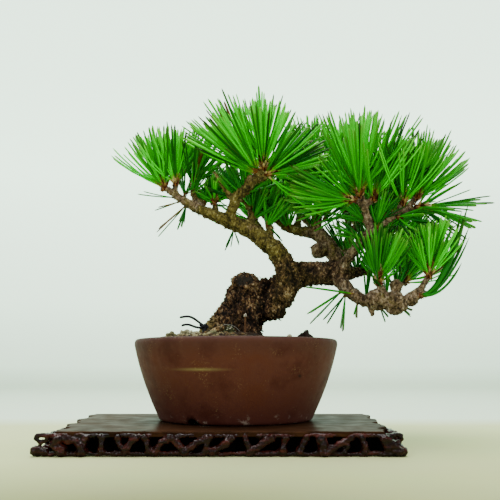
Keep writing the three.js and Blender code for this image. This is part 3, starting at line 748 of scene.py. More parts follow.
def grow_side_shoots():
    brush = Brush(11)
    rng = brush.rng
    for point, way, pairs, length in SIDE_SHOOTS:
        root = wood_tree.find_nearest(RIM_CENTRE + Vector(point) * MM)[0]
        way = Vector(way).normalized()
        side = perpendicular(way)
        for i in range(pairs):
            out = Quaternion(way, i * GOLDEN_TURN + rng.uniform(-0.4, 0.4)) @ side
            ahead = (way + out * rng.uniform(0.2, 1.0)).normalized()
            foot = root + way * rng.uniform(0, 3.5) * MM
            # A low tone: painted shade inside the crown.
            tone = rng.random() * 0.45
            size = length * rng.uniform(0.75, 1.1) * MM
            brush.plant(SHEATH, foot, ahead, 2.6 * MM, 0.8 * MM, kind=0.5, tone=rng.random() * 0.6)
            for half in (-1, 1):
                lean = (ahead + perpendicular(ahead) * half * rng.uniform(0.03, 0.13)).normalized()
                brush.plant(NEEDLE, foot, lean, size, rng.uniform(0.62, 0.8) * MM,
                            way * rng.uniform(0, 0.25) * size, tone=tone)
        for i in range(16):
            out = Quaternion(way, i * GOLDEN_TURN) @ side
            ahead = (way + out * rng.uniform(0.3, 1.2)).normalized()
            brush.plant(SCALE, root + way * rng.uniform(-1, 3) * MM, ahead, rng.uniform(1.8, 3.4) * MM,
                        rng.uniform(0.5, 0.9) * MM, kind=0.75, tone=rng.random() * 0.8)
    return brush.shape


finish_piece("side_shoots", grow_side_shoots(), needle_skin)

# %% Leaf-scar stubs and loose flakes
STUB_COUNT = 6800


def grow_stubs():
    """Stubs on thin wood and flakes on thick, lying along the surface."""
    brush = Brush(19, "bark")
    rng = brush.rng
    picks = sorted(rng.sample(range(len(trunk_mesh.vertices)), STUB_COUNT))
    for index in picks:
        vertex, depth, age = trunk_mesh.vertices[index], depths[index], ages[index]
        if vertex.co.z < RIM + 2 * MM:
            continue
        across = vertex.normal.cross(Vector([rng.gauss(0, 1) for _ in range(3)])).normalized()
        if depth < 7 and age < 0.5:
            ahead = (across + vertex.normal * rng.uniform(0.5, 1.6)).normalized()
            length, width = rng.uniform(1.0, 2.6) * MM, rng.uniform(0.3, 0.6) * MM
        else:
            ahead = (across + vertex.normal * rng.uniform(0.1, 0.45)).normalized()
            length, width = rng.uniform(1.2, 2.6) * MM, rng.uniform(0.5, 0.95) * MM
        root = vertex.co - vertex.normal * 0.5 * MM
        brush.plant(SCALE, root, ahead, length, width, tone=age)
    # Each stub's tone runs from darker at its foot to full at its tip: painted shade where it meets the
    # bark.
    for vertex in brush.shape.verts:
        age, along, kind, _ = vertex[brush.marks]
        vertex[brush.marks] = (age, 0.35 + 0.65 * along, kind, 1.0)
    print("stubs and flakes:", len(picks))
    return brush.shape


finish_piece("bark_flakes", grow_stubs(), bark, smooth=False)

# %% [markdown]
# ## The pot
# It is thrown or pressed from iron-rich clay and fired without glaze, then oiled by
# years of handling. A spin of its half section gives the truest round, and small cut
# notches in the foot let water out. The section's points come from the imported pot.

# %% Spin the pot
def pot_section():
    """The half section, from the drain hole round the outside and back, in mm."""
    height = (pot_high.z - pot_low.z) / MM
    wide = POT_RADIUS / MM
    outer = [(51.7, 0.4), (52.6, 1.2), (53.2, 2.6)]
    for i in range(1, 13):
        part = i / 13
        low, mid, high = Vector((53.2, 2.6)), Vector((65.2, 27)), Vector((wide, height - 4))
        point = low * (1 - part) ** 2 + mid * 2 * part * (1 - part) + high * part ** 2
        outer.append((point.x, point.y))
    lip = [(wide, height - 4), (wide, height - 2.2), (wide - 0.4, height - 1),
           (wide - 1.2, height - 0.25), (wide - 2.2, height), (wide - 4, height),
           (wide - 5, height - 0.3), (wide - 5.7, height - 1)]
    inner = [(wide - 6.4, height - 3), (wide - 9, height - 14), (52.5, 16.5), (48, 11.4), (8.6, 11.0)]
    under = [(8, 10.4), (8, 5.6), (8.6, 5), (42.9, 5), (43.7, 4.4), (43.9, 0.5), (44.6, 0), (50.6, 0)]
    return outer + lip + inner + under


def spin_section(points, steps=144):
    shape = bmesh.new()
    made = [shape.verts.new((x * MM, 0, y * MM)) for x, y in points]
    edges = [shape.edges.new((made[i], made[(i + 1) % len(made)])) for i in range(len(made))]
    bmesh.ops.spin(shape, geom=made + edges, cent=(0, 0, 0), axis=(0, 0, 1), dvec=(0, 0, 0),
                   angle=math.tau, steps=steps, use_merge=True)
    bmesh.ops.remove_doubles(shape, verts=shape.verts, dist=0.01 * MM)
    bmesh.ops.translate(shape, verts=shape.verts, vec=(POT_AXIS.x, POT_AXIS.y, pot_low.z))
    bmesh.ops.recalc_face_normals(shape, faces=shape.faces)
    return shape


NOTCH_TURNS = (-120, 0, 120)
pot_shape = spin_section(pot_section())
notch_shape = bmesh.new()
for degrees in NOTCH_TURNS:
    turn = Matrix.Rotation(math.radians(degrees), 4, "Z")
    place = Matrix.Translation((POT_AXIS.x, POT_AXIS.y, pot_low.z)) @ turn
    place = place @ Matrix.Translation((50 * MM, 0, 0)) @ Matrix.Rotation(math.radians(90), 4, "Y")
    bmesh.ops.create_cone(notch_shape, cap_ends=True, segments=32, radius1=5.4 * MM, radius2=5.4 * MM,
                          depth=26 * MM, matrix=place @ Matrix.Diagonal((0.7, 1, 1, 1)))
notch_mesh = bpy.data.meshes.new("notches")
notch_shape.to_mesh(notch_mesh)
notch_shape.free()
notches = bpy.data.objects.new("notches", notch_mesh)
bpy.context.scene.collection.objects.link(notches)
pot_mesh = with_modifiers(pot_shape, ("BOOLEAN", {"object": notches, "operation": "DIFFERENCE"}))
bpy.data.objects.remove(notches)
print("pot faces:", len(pot_mesh.polygons))

# %% [markdown]
# ### Unglazed stoneware
# Red-brown body with a soft, uneven sheen: the clay's iron gives warm mottling a few
# centimetres wide, the grog in it small specks, and use has left dust and lime at the foot
# where water dries. On the front there is a long pale streak and a small dark pock.

# %% Stoneware material
def make_stoneware():
    material, tree, shader = start_material("unglazed_red_stoneware", ior=1.5,
                                            specular_ior_level=0.2)
    place = add(tree, "TexCoord").outputs["Object"]
    where = add(tree, "Mapping", {"Vector": place,
                                  "Location": (-POT_AXIS.x, -POT_AXIS.y, -pot_low.z)})
    height = add(tree, "SeparateXYZ", {"Vector": where}).outputs["Z"]
    tall = pot_high.z - pot_low.z
    rise = add(tree, "MapRange", {"Value": height, "From Min": 0.0, "From Max": tall})
    # By height the body is a little darker towards the foot and darker again over the rim: painted
    # shade, and over the rim it tones down the light on the rounded lip.
    body = add(tree, "ValToRGB", {"Fac": rise},
               stops=[(0.0, "#4d261d"), (0.35, "#51291e"), (0.75, "#552c20"), (0.96, "#4a291f"),
                      (1.0, "#3e271f")])
    mottle = add(tree, "TexNoise", {"Vector": where, "Scale": per_metre(22), "Detail": 4.0,
                                    "Roughness": 0.6})
    tint = add(tree, "ValToRGB", {"Fac": mottle},
               stops=[(0.35, "#dcc4bc"), (0.5, "#ffffff"), (0.68, "#fff4dc")])
    warm = add(tree, "Mix", {0: 1.0, 6: body, 7: tint}, data_type="RGBA", blend_type="MULTIPLY")
    speck = add(tree, "TexVoronoi", {"Vector": where, "Scale": per_metre(2.6)})
    dot = add(tree, "MapRange", {"Value": speck, "From Min": 0.05, "From Max": 0.13, "To Min": 1.0,
                                 "To Max": 0.0})
    pick = add(tree, "SeparateColor", {"Color": speck.outputs["Color"]})
    few = add(tree, "Math", {0: pick.outputs[0], 1: 0.8}, operation="GREATER_THAN")
    pale_dot = add(tree, "Math", {0: dot, 1: few}, operation="MULTIPLY")
    dotted = add(tree, "Math", {0: pale_dot, 1: 0.3}, operation="MULTIPLY")
    grog = add(tree, "Mix", {0: dotted, 6: warm, 7: linear("#9a8458")}, data_type="RGBA")
    dust_speck = add(tree, "TexVoronoi", {"Vector": where, "Scale": per_metre(1.3)})
    dust_dot = add(tree, "MapRange", {"Value": dust_speck, "From Min": 0.15, "From Max": 0.4,
                                      "To Min": 1.0, "To Max": 0.0})
    dust_patch = add(tree, "TexNoise", {"Vector": where, "Scale": per_metre(13), "Detail": 3.0})
    dusty = add(tree, "MapRange", {"Value": dust_patch, "From Min": 0.56, "From Max": 0.72,
                                   "To Max": 0.3})
    dust = add(tree, "Math", {0: dust_dot, 1: dusty}, operation="MULTIPLY")
    grog = add(tree, "Mix", {0: dust, 6: grog, 7: linear("#a08858")}, data_type="RGBA")
    film = add(tree, "TexNoise", {"Vector": where, "Scale": per_metre(7), "Detail": 6.0,
                                  "Roughness": 0.75})
    low = add(tree, "MapRange", {"Value": height, "From Min": 3 * MM, "From Max": 8 * MM,
                                 "To Min": 1.0, "To Max": 0.0})
    patchy = add(tree, "MapRange", {"Value": film, "From Min": 0.56, "From Max": 0.66})
    lime = add(tree, "Math", {0: low, 1: patchy}, operation="MULTIPLY")
    limed = add(tree, "Mix", {0: lime, 6: grog, 7: linear("#8c7a6c")}, data_type="RGBA")
    # A long, thin, pale band across the front of the pot.
    pale_streak = soft_spot(tree, where, (21, 66, -34), (26, 50, 1.8), "QUADRATIC_SPHERE")
    front = add(tree, "Math", {0: pale_streak, 1: 0.75}, operation="MULTIPLY")
    streaked = add(tree, "Mix", {0: front, 6: limed, 7: linear("#8f8450")}, data_type="RGBA")
    pock = soft_spot(tree, where, (-40.5, 52, -30), (1.5, 20, 1.5), "SPHERICAL")
    pocked = add(tree, "Mix", {0: pock, 6: streaked, 7: linear("#120806")}, data_type="RGBA")
    plug(tree, pocked, shader.inputs["Base Color"])
    gloss = add(tree, "MapRange", {"Value": film, "From Min": 0.3, "From Max": 0.7, "To Min": 0.62,
                                   "To Max": 0.85})
    plug(tree, gloss, shader.inputs["Roughness"])
    grit = add(tree, "TexNoise", {"Vector": where, "Scale": per_metre(0.9), "Detail": 4.0})
    bump = add(tree, "Bump", {"Height": grit, "Strength": 0.25, "Distance": 0.25 * MM})
    plug(tree, bump, shader.inputs["Normal"])
    return material


finish_piece("stoneware_pot", pot_mesh, make_stoneware(), ["pot"])

# %% [markdown]
# ## Soil and what lies on it
# Bonsai soil is baked clay, pumice and lava in grains of two to four millimetres. The
# packed soil gives the mound, remeshed and roughened, and grains are scattered on it,
# each a twenty-sided lump pushed out of shape. A ray from above finds where each one
# rests, and none is set where the tree or the pot stands.

# %% Grains
GRAIN_COUNT = 1900
soil_shape = merged_copy("soil")
soil_tree = BVHTree.FromBMesh(soil_shape)
soil_mesh = with_modifiers(soil_shape, *voxels(1.3, 0.5, 2))


def settling(place):
    """How far the soil has washed down at the right of the trunk, in metres."""
    return 3.2 * MM * smooth_step(8 * MM, 24 * MM, place.x - POT_AXIS.x)


def soil_roughness(place, normal):
    if normal.z < 0.3 or place.z < RIM - 6 * MM:
        return 0.0
    return 0.5 * MM * noise.fractal(place / (2.4 * MM), 1.0, 2.0, 3) - settling(place)


move_along_normals(soil_mesh, soil_roughness)


def add_lump(shape, centre, size, seed, rough=0.3, rounds=1, tone_layer=None, tone=0.5):
    """One stone: a low icosphere squashed, turned and dented."""
    before = len(shape.verts)
    bmesh.ops.create_icosphere(shape, subdivisions=rounds, radius=1)
    shape.verts.ensure_lookup_table()
    dice = random.Random(seed)
    turn = Quaternion((dice.gauss(0, 1), dice.gauss(0, 1), dice.gauss(0, 1)), dice.uniform(0, 6.3))
    for vertex in shape.verts[before:]:
        place = vertex.co.copy()
        dent = 1.0 + rough * noise.noise(place * 1.3 + Vector((seed * 1.7, seed * 0.3, 0)))
        dent += 0.3 * rough * noise.noise(place * 4.0 + Vector((0, seed * 1.1, 0)))
        if rounds > 1:
            place = turn @ place
        vertex.co = centre + Vector((place.x * size[0], place.y * size[1], place.z * size[2])) * dent
        if tone_layer is not None:
            vertex[tone_layer] = (tone, 0.0, 0.0, 1.0)


def scatter_grains():
    dice = random.Random(31)
    shape = bmesh.new()
    tones = shape.verts.layers.float_color.new("grain")
    placed = 0
    for i in range(GRAIN_COUNT):
        far = 0.06 * math.sqrt(dice.random())
        around = dice.uniform(0, math.tau)
        above = Vector((POT_AXIS.x + far * math.cos(around), POT_AXIS.y + far * math.sin(around),
                        RIM + 60 * MM))
        spot = soil_tree.ray_cast(above, Vector((0, 0, -1)))[0]
        wood = wood_tree.find_nearest(spot)[3] if spot else 0
        if not spot or spot.z < RIM - 6 * MM or wood < 1.0 * MM:
            continue
        size = dice.uniform(0.9, 2.0) * MM
        stretch = Vector((dice.uniform(0.8, 1.3), dice.uniform(0.8, 1.2), dice.uniform(0.6, 0.9)))
        spot = spot - Vector((0, 0, settling(spot)))
        shade = 0.55 + 0.45 * smooth_step(12 * MM, -20 * MM, spot.x - POT_AXIS.x)
        add_lump(shape, spot + Vector((0, 0, 0.35 * size)), stretch * size, i, 0.45, 1, tones,
                 dice.random() * shade)
        placed += 1
    print("grains:", placed)
    return shape


# %% [markdown]
# ### Soil colours
# Baked clay is ochre-brown, pumice pale, lava dark and a little red. Each grain keeps
# one tone, picked when it was scattered, and a fine noise makes it look porous.

# %% Soil materials
def make_grit(name, stops, size_mm):
    material, tree, shader = start_material(name, roughness=0.95, specular_ior_level=0.2)
    marks = add(tree, "Attribute", attribute_name="grain")
    tone = add(tree, "SeparateColor", {"Color": marks}).outputs[0]
    colour = add(tree, "ValToRGB", {"Fac": tone}, stops=stops)
    place = add(tree, "TexCoord").outputs["Object"]
    pores = add(tree, "TexNoise", {"Vector": place, "Scale": per_metre(size_mm), "Detail": 4.0,
                                   "Roughness": 0.7})
    shade = add(tree, "ValToRGB", {"Fac": pores}, stops=[(0.3, "#8a8178"), (0.55, "#ffffff")])
    mixed = add(tree, "Mix", {0: 1.0, 6: colour, 7: shade}, data_type="RGBA",
                blend_type="MULTIPLY")
    plug(tree, mixed, shader.inputs["Base Color"])
    bump = add(tree, "Bump", {"Height": pores, "Strength": 0.5, "Distance": 0.3 * MM})
    plug(tree, bump, shader.inputs["Normal"])
    return material


GRAIN_STOPS = [(0.0, "#16100c"), (0.3, "#2e2013"), (0.6, "#5a4728"), (0.85, "#857b54"),
               (1.0, "#b4b08c")]
grit = make_grit("baked_clay_and_pumice", GRAIN_STOPS, 0.8)
finish_piece("soil_bed", soil_mesh, grit, ["soil"])
finish_piece("soil_grains", scatter_grains(), grit, smooth=False)

# %% [markdown]
# The larger stones at the left are cream pumice with a little moss between them, and
# the dark lump at the right is a piece of old bark. Each is shaped as its own stone, of
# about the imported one's size.

# %% Stones, bark chip and moss
PEBBLE_STOPS = [(0.0, "#5c5c3a"), (0.5, "#848060"), (1.0, "#b6b393")]
pumice = make_grit("cream_pumice", PEBBLE_STOPS, 1.1)
cork = make_grit("old_bark_lump", [(0.0, "#1d1512"), (1.0, "#3a2c24")], 1.2)


def packed_lump(node, name, material, rough, rounds, tone, fill=1.0):
    low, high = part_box(node)
    shape = bmesh.new()
    tones = shape.verts.layers.float_color.new("grain")
    seed = len(name) + ord(name[-1])
    add_lump(shape, (low + high) / 2, (high - low) / 2 * fill, seed, rough, rounds,
             tones, tone)
    return finish_piece(name, shape, material, [node])


for node in sorted(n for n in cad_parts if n.startswith("pebble_")):
    packed_lump(node, node.replace("pebble", "pumice"), pumice, 0.6, 4,
                (ord(node[-1]) * 0.37) % 1.0)
packed_lump("bark_chip", "old_bark_lump", cork, 0.6, 4, 0.3, fill=0.84)

# %% [markdown]
# ## Wires, stalk and net
# Two ends of black tying wire are twisted together where they hold the roots, and a
# thin grey one arches beside them. They keep their packed way, rounded by one level of
# subdivision and made a hair thicker or thinner. A dry stalk stands before the trunk.
# The net under the soil stays as it was packed.

# %% Wires and small parts
def make_wire_skin(name, code, rough):
    """Anodised or weathered soft wire: even colour, dulled in patches."""
    material, tree, shader = start_material(name, metallic=0.6)
    place = add(tree, "TexCoord").outputs["Object"]
    dull = add(tree, "TexNoise", {"Vector": place, "Scale": per_metre(2.5), "Detail": 3.0})
    rub = add(tree, "MapRange", {"Value": dull, "From Min": 0.35, "From Max": 0.65,
                                 "To Min": rough, "To Max": rough + 0.2})
    plug(tree, rub, shader.inputs["Roughness"])
    dark = tuple(c * 0.5 for c in linear(code)[:3]) + (1.0,)
    colour = add(tree, "Mix", {0: dull, 6: dark, 7: linear(code)}, data_type="RGBA")
    plug(tree, colour, shader.inputs["Base Color"])
    return material


def rounded(node, name, material, slimmer=0.0):
    mesh = with_modifiers(merged_copy(node), ("SUBSURF", {"levels": 1, "render_levels": 1}))
    move_along_normals(mesh, lambda place, normal: -slimmer * MM)
    return finish_piece(name, mesh, material, [node])


rounded("tie_wire", "black_tying_wire", make_wire_skin("black_anodised_wire", "#15171c", 0.35),
        -0.12)
rounded("thin_wire", "thin_grey_wire", make_wire_skin("grey_soft_wire", "#8e8f82", 0.4),
        0.25)


def make_twist():
    """The short twist where the two ends were turned round each other."""
    shape = bmesh.new()
    for i in range(9):
        turn = i * 1.1
        place = Vector((-23.5 + 0.55 * i, -22.6 + 0.9 * math.sin(turn), 8.3 + 0.9 * math.cos(turn)))
        bmesh.ops.create_icosphere(shape, subdivisions=2, radius=1.15 * MM,
                                   matrix=Matrix.Translation(RIM_CENTRE + place * MM))
    return with_modifiers(shape, *voxels(0.3, 0.5, 3))


finish_piece("wire_twist", make_twist(), bpy.data.materials["black_anodised_wire"])

# %% The stalk with its knob
def make_stalk():
    """A thin brown stalk with a pale, dry knob, in tones of the grit material."""
    low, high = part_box("peg")
    shape = bmesh.new()
    tones = shape.verts.layers.float_color.new("grain")
    tall = high.z - low.z - 1.2 * MM
    middle = (low + high) / 2
    stem = Matrix.Translation((middle.x, middle.y, low.z + tall / 2))
    bmesh.ops.create_cone(shape, cap_ends=True, segments=10, radius1=1.0 * MM, radius2=0.75 * MM,
                          depth=tall, matrix=stem)
    upright = [e for e in shape.edges if abs(e.verts[0].co.z - e.verts[1].co.z) > 0.5 * tall]
    bmesh.ops.subdivide_edges(shape, edges=upright, cuts=15, use_grid_fill=True)
    for vertex in shape.verts:
        sway = wander(Vector((0, 0, vertex.co.z)) / (7 * MM)) * 0.5 * MM
        vertex.co += Vector((sway.x, sway.y, 0)) + wander(vertex.co / (1.5 * MM)) * 0.2 * MM
        vertex[tones] = (0.25, 0, 0, 1)
    add_lump(shape, Vector((middle.x, middle.y, high.z - 1.3 * MM)), Vector((1.25, 1.2, 1.2)) * MM,
             5, 0.5, 3, tones, 1.0)
    return shape


dry_stalk = make_grit("dry_stalk", [(0.0, "#2a1a10"), (0.3, "#6a4a30"), (1.0, "#b9b2a0")], 1.0)
finish_piece("stalk_with_knob", make_stalk(), dry_stalk, ["peg"])

# %% [markdown]
# Moss and small roots have crept over the soil beside the trunk. The moss is a heap of
# tiny lumps laid over a low dome, grey-green with dry, pale tips, and the root is a
# short piece of the same bark that lies half buried.

# %% Moss and a surface root
moss_skin = make_grit("dry_grey_moss", [(0.0, "#1c1e0e"), (0.4, "#4d4f2c"), (0.7, "#85886a"),
                                        (1.0, "#cfcfb8")], 0.7)
MOSS_DOMES = [
    # centre over the rim's middle and half sizes, in mm
    ((-6.5, -18.5, 0.5), (7, 4.8, 8.2)), ((-33, -22, -1.0), (6, 7, 4.6)),
    ((-13, -30, -1.5), (8, 5, 3.0)), ((-44, -8, -1.5), (7, 9, 3.4)), ((-26, -27, -1.0), (5, 4, 3.4)),
]


def grow_moss(name, centre, half, seed):
    dice = random.Random(seed)
    shape = bmesh.new()
    tones = shape.verts.layers.float_color.new("grain")
    middle = RIM_CENTRE + Vector(centre) * MM
    add_lump(shape, middle, Vector(half) * 0.93 * MM, seed, 0.3, 3, tones, 0.15)
    for i in range(150):
        around, up = dice.uniform(0, math.tau), dice.uniform(-0.05, 1.0)
        out = math.sqrt(1.0 - up * up) if up > 0 else 1.0
        at = Vector((half[0] * out * math.cos(around), half[1] * out * math.sin(around),
                     half[2] * up))
        size = dice.uniform(0.45, 1.05) * MM
        add_lump(shape, middle + at * MM, Vector((size, size, size * 0.8)), i + seed, 0.5, 1, tones,
                 dice.random())
    return finish_piece(name, shape, moss_skin, smooth=False)


for number, (centre, half) in enumerate(MOSS_DOMES):
    grow_moss(f"moss_{number + 1}", centre, half, 300 + number)


def lay_rods(shape, places, radii, segments=10, overlap=1.0):
    """A tapering rod through places, made of cones with a ball at every bend. Radii in mm."""
    for place, radius in zip(places, radii):
        bmesh.ops.create_icosphere(shape, subdivisions=2, radius=radius * MM,
                                   matrix=Matrix.Translation(place))
    for start, end, wide, narrow in zip(places, places[1:], radii, radii[1:]):
        turn = (end - start).to_track_quat("Z", "Y").to_matrix().to_4x4()
        bmesh.ops.create_cone(shape, cap_ends=True, segments=segments, radius1=wide * MM,
                              radius2=narrow * MM, depth=(end - start).length * overlap,
                              matrix=Matrix.Translation((start + end) / 2) @ turn)


def lay_root():
    shape = bmesh.new()
    path = [(-29, -27, -1.5), (-25, -28, 1.2), (-21, -28, 2.4), (-17, -27, 3.6), (-13, -24, 5.4),
            (-8, -18, 8)]
    places = [RIM_CENTRE + Vector(p) * MM for p in path]
    radii = [1.4, 1.8, 1.9, 1.9, 2.1, 2.6]
    lay_rods(shape, places, radii, 12, 1.05)
    mesh = with_modifiers(shape, *voxels(0.4, 0.5, 2))
    move_along_normals(
        mesh, lambda place, normal: 0.5 * MM * noise.fractal(place / (1.6 * MM), 1, 2, 3))
    colours = mesh.attributes.new("bark", "FLOAT_COLOR", "POINT")
    for i in range(len(mesh.vertices)):
        colours.data[i].color = (0.75, 0.95, 0.0, 1.0)
    return mesh


finish_piece("surface_root", lay_root(), bark)


def make_dull_skin(name, stops, **sockets):
    """A dull surface whose colour wanders over a few millimetres, as with dust or stain."""
    material, tree, shader = start_material(name, **sockets)
    place = add(tree, "TexCoord").outputs["Object"]
    cloud = add(tree, "TexNoise", {"Vector": place, "Scale": per_metre(3), "Detail": 4.0})
    colour = add(tree, "ValToRGB", {"Fac": cloud}, stops=stops)
    plug(tree, colour, shader.inputs["Base Color"])
    return material


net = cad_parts["drain_net"]
# Moulded polyethylene, with soil dust on it.
net.material_slots[0].material = make_dull_skin(
    "moulded_net", [(0.4, "#20241f"), (0.7, "#5c4a35")], roughness=0.6)

# %% [markdown]
# ## The stand
# It is rosewood, stained dark red-brown and lacquered. Its rails are carved as knotted
# roots: a wavy one on the table, another under the board's edge, and slanting ones
# between them. Each root is a run of cones and balls, and a fine voxel remesh melts
# them into one body, as a carver leaves no joints. Noise then gives it knuckles and
# hollows, and whatever reaches the top is eased under it, so that it stays round. The
# front rail's roots each have their own way, and the others are laid by chance.

# %% Roots along a rail
RAIL_VOXEL = 0.45


class Carving:
    """Roots laid out in a rail's own frame: along, outwards and up, in mm."""

    def __init__(self, corner, along, outwards):
        self.shape = bmesh.new()
        self.frame = Matrix((along, outwards, (0, 0, 1))).transposed() * MM
        self.corner = corner

    def spot(self, point):
        return self.corner + self.frame @ Vector(point)

    def root(self, points, radii):
        """A tapering root through points."""
        lay_rods(self.shape, [self.spot(p) for p in points], radii)


def gnarl(place):
    """Swelling of the carved wood, in metres."""
    knot = noise.noise(place / (4.5 * MM))
    groove = noise.fractal(place / (1.8 * MM), 1.0, 2.0, 2)
    return (0.7 * knot + 0.5 * groove) * MM


def finish_rail(carving, node, name, material, top):
    """Melts the roots together, stands them flat on the table and eases them under the top."""
    mesh = with_modifiers(carving.shape, *voxels(RAIL_VOXEL, 0.5, 3))
    move_along_normals(mesh, lambda place, normal: gnarl(place))
    ease = 1.5 * MM
    for vertex in mesh.vertices:
        over = vertex.co.z - (top - ease)
        if over > 0:
            vertex.co.z = top - ease * math.exp(-over / ease)
        vertex.co.z = max(vertex.co.z, 0.05 * MM)
    mesh.update()
    print(name, "faces:", len(mesh.polygons))
    return finish_piece(name, mesh, material, [node])


# %% Lay out a rail
# Each root of the front rail: its radius, then its way down from the top, in mm.
FRONT_ROOTS = [
    (2.4, (15, 12), (14, 7), (18, 3)), (2.1, (20, 11), (25, 9), (29, 6), (29.5, 3)),
    (1.6, (31, 12), (29.5, 7)), (1.6, (39.5, 12), (39.8, 7), (40.5, 3)),
    (1.5, (49, 12), (50, 7), (53, 3)),
    (1.8, (59, 12), (56, 7), (53.6, 3)), (1.6, (64, 12), (66, 7), (67, 3)),
    (1.9, (78.5, 12), (74, 8), (70.5, 3)), (1.9, (79.5, 12), (83, 7.5), (86.6, 3)),
    (1.6, (101.5, 12), (94, 8), (87, 3)), (1.2, (100.6, 9), (98, 3)),
    (1.8, (113.7, 12), (109, 6.6), (101.6, 3)), (1.5, (120.7, 12), (122, 7), (123.5, 3)),
    (1.8, (135.7, 12), (132, 8), (127.7, 5), (124, 3)), (1.7, (143.5, 12), (143, 7), (142, 3)),
    (1.6, (155.2, 12), (153.8, 8), (151.4, 3)), (2.5, (163.5, 12), (164.5, 7), (165, 3)),
    (1.7, (180.4, 12), (175.7, 7.5), (168.3, 4)), (1.2, (178.5, 6), (176.7, 3)),
    (1.5, (186.5, 12), (188, 7), (188.3, 3)), (1.8, (197.7, 12), (201.4, 5)),
    (2.1, (199.5, 12), (206, 5), (207, 3)),
]


def lay_strut(carving, root, proud, height, dice):
    """A carved root that stands proud of its rail, thicker at both ends, with knuckles."""
    radius, *way = root
    way[0] = (way[0][0], min(way[0][1], height - 1.0 - 1.3 * radius))
    points, radii = [], []
    for (u, z), (after_u, after_z) in zip(way, way[1:]):
        for part in (0.0, 0.5):
            bulge = 0.9 * math.sin(math.pi * (z / 14))
            points.append((u + (after_u - u) * part, proud + bulge - 0.4, z + (after_z - z) * part))
            radii.append(radius * dice.uniform(1.0, 1.3))
    points.append((way[-1][0], proud - 0.2, way[-1][1]))
    radii.append(radius * 1.6)
    radii[0] = radius * 1.3
    carving.root(points, radii)


def lay_rail(corner, along, outwards, length, height, roots, seed, proud=0.0, dense=False):
    """Two long wavy roots with slanting ones between, and a ring at each end."""
    dice = random.Random(seed)
    carving = Carving(corner, along, outwards)
    low = [(u, dice.uniform(-0.3, 0.9), 1.4 + dice.uniform(-0.3, 0.5))
           for u in range(3, int(length) - 2, 5)]
    high = [(u, dice.uniform(-0.3, 0.5), height - 2.1 + dice.uniform(-0.3, 0.3))
            for u in range(4, int(length) - 3, 5)]
    carving.root(low, [dice.uniform(1.1, 1.7) for _ in low])
    carving.root(high, [dice.uniform(1.0, 1.5) for _ in high])
    for root in roots:
        lay_strut(carving, root, proud, height, dice)
    at = 9.0
    while at < length - 9 and dense:
        slant = dice.uniform(-3, 3)
        carving.root([(at - slant, -1.9, 2.0), (at + slant, -1.9, height - 2.0)], [2.1, 1.8])
        at += dice.uniform(3.0, 3.8)
    for end, way in ((0, 1), (length, -1)):
        carving.root([(end + way * 3, 0, 3.2), (end + way * 8, 0.3, 3.0)], [2.9, 2.5])
        turns = [i * math.tau / 10 for i in range(11)]
        ring = [(end + way * (6.3 + 3.2 * math.cos(t)), 0.2, height - 3.6 + 2.3 * math.sin(t))
                for t in turns]
        carving.root(ring, [1.25 + 0.25 * math.sin(3 * t) for t in turns])
        carving.root([(end + way * 5, 0.2, 5.2), (end + way * 6, 0.2, height - 5.8)], [1.6, 1.3])
    return carving


def random_roots(length, height, seed):
    dice = random.Random(seed)
    roots, at = [], 15.0
    while at < length - 13:
        slant = dice.uniform(-5, 5)
        roots.append((dice.uniform(1.5, 2.1), (at + slant / 2, height - 1.8),
                      (at + dice.uniform(-1, 1), height / 2), (at - slant / 2, 3)))
        at += dice.uniform(7.5, 11)
    return roots


# %% [markdown]
# ### Lacquered rosewood
# Dark red-brown lacquer. On the carving a thin coat of it is still glossy and glints on
# the knuckles. The board is rubbed to satin: it shows faint straight grain, and it
# mirrors the pale room and the pot only at a low angle.

# %% Lacquer material
def make_lacquer(name, stops, rough, grain_strength, coat, level):
    material, tree, shader = start_material(name, ior=1.5, specular_ior_level=level, coat_weight=coat,
                                            coat_roughness=0.6 * rough)
    place = add(tree, "TexCoord").outputs["Object"]
    along = add(tree, "Mapping", {"Vector": place, "Scale": (0.12, 1.0, 1.0)})
    grain = add(tree, "TexNoise", {"Vector": along, "Scale": per_metre(2.2), "Detail": 5.0})
    colour = add(tree, "ValToRGB", {"Fac": grain}, stops=stops)
    plug(tree, colour, shader.inputs["Base Color"])
    wear = add(tree, "TexNoise", {"Vector": place, "Scale": per_metre(14), "Detail": 4.0})
    gloss = add(tree, "MapRange", {"Value": wear, "From Min": 0.35, "From Max": 0.65,
                                   "To Min": rough, "To Max": rough + 0.15})
    plug(tree, gloss, shader.inputs["Roughness"])
    bump = add(tree, "Bump", {"Height": grain, "Strength": grain_strength, "Distance": 0.2 * MM})
    plug(tree, bump, shader.inputs["Normal"])
    return material


# The carving's colours are darker than the board's: painted shade on the rails, which stand under the
# board's edge and face away from the light.
CARVED_STOPS = [(0.3, "#080303"), (0.5, "#1d0a07"), (0.7, "#431913")]
FLAT_STOPS = [(0.3, "#20130b"), (0.5, "#2d1b10"), (0.7, "#3d2617")]
carved_lacquer = make_lacquer("carved_lacquered_rosewood", CARVED_STOPS, 0.2, 0.3, 0.12, 0.1)
flat_lacquer = make_lacquer("flat_lacquered_rosewood", FLAT_STOPS, 0.33, 0.3, 0.0, 0.005)

# %% The four rails
RAILS = {"front": ((1, 0, 0), (0, -1, 0)), "back": ((-1, 0, 0), (0, 1, 0)),
         "left": ((0, -1, 0), (-1, 0, 0)), "right": ((0, 1, 0), (1, 0, 0))}
for seed, (side, (along, outwards)) in enumerate(RAILS.items()):
    node = f"stand_{side}_apron"
    low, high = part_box(node)
    along, outwards = Vector(along), Vector(outwards)
    middle = (low + high) / 2
    half = (high - low) / 2
    length = 2 * abs(half.dot(along))
    corner = Vector((middle.x, middle.y, low.z)) - along * length / 2
    tall = (STAND_TOP if side == "front" else high.z + 2.2 * MM) - low.z
    roots = FRONT_ROOTS if side == "front" else random_roots(length / MM, tall / MM, seed)
    carving = lay_rail(corner, along, outwards, length / MM, tall / MM, roots, seed,
                       proud=0.8 if side == "front" else 0.3, dense=side != "front")
    finish_rail(carving, node, f"{side}_carved_rail", carved_lacquer, STAND_TOP - 0.1 * MM)
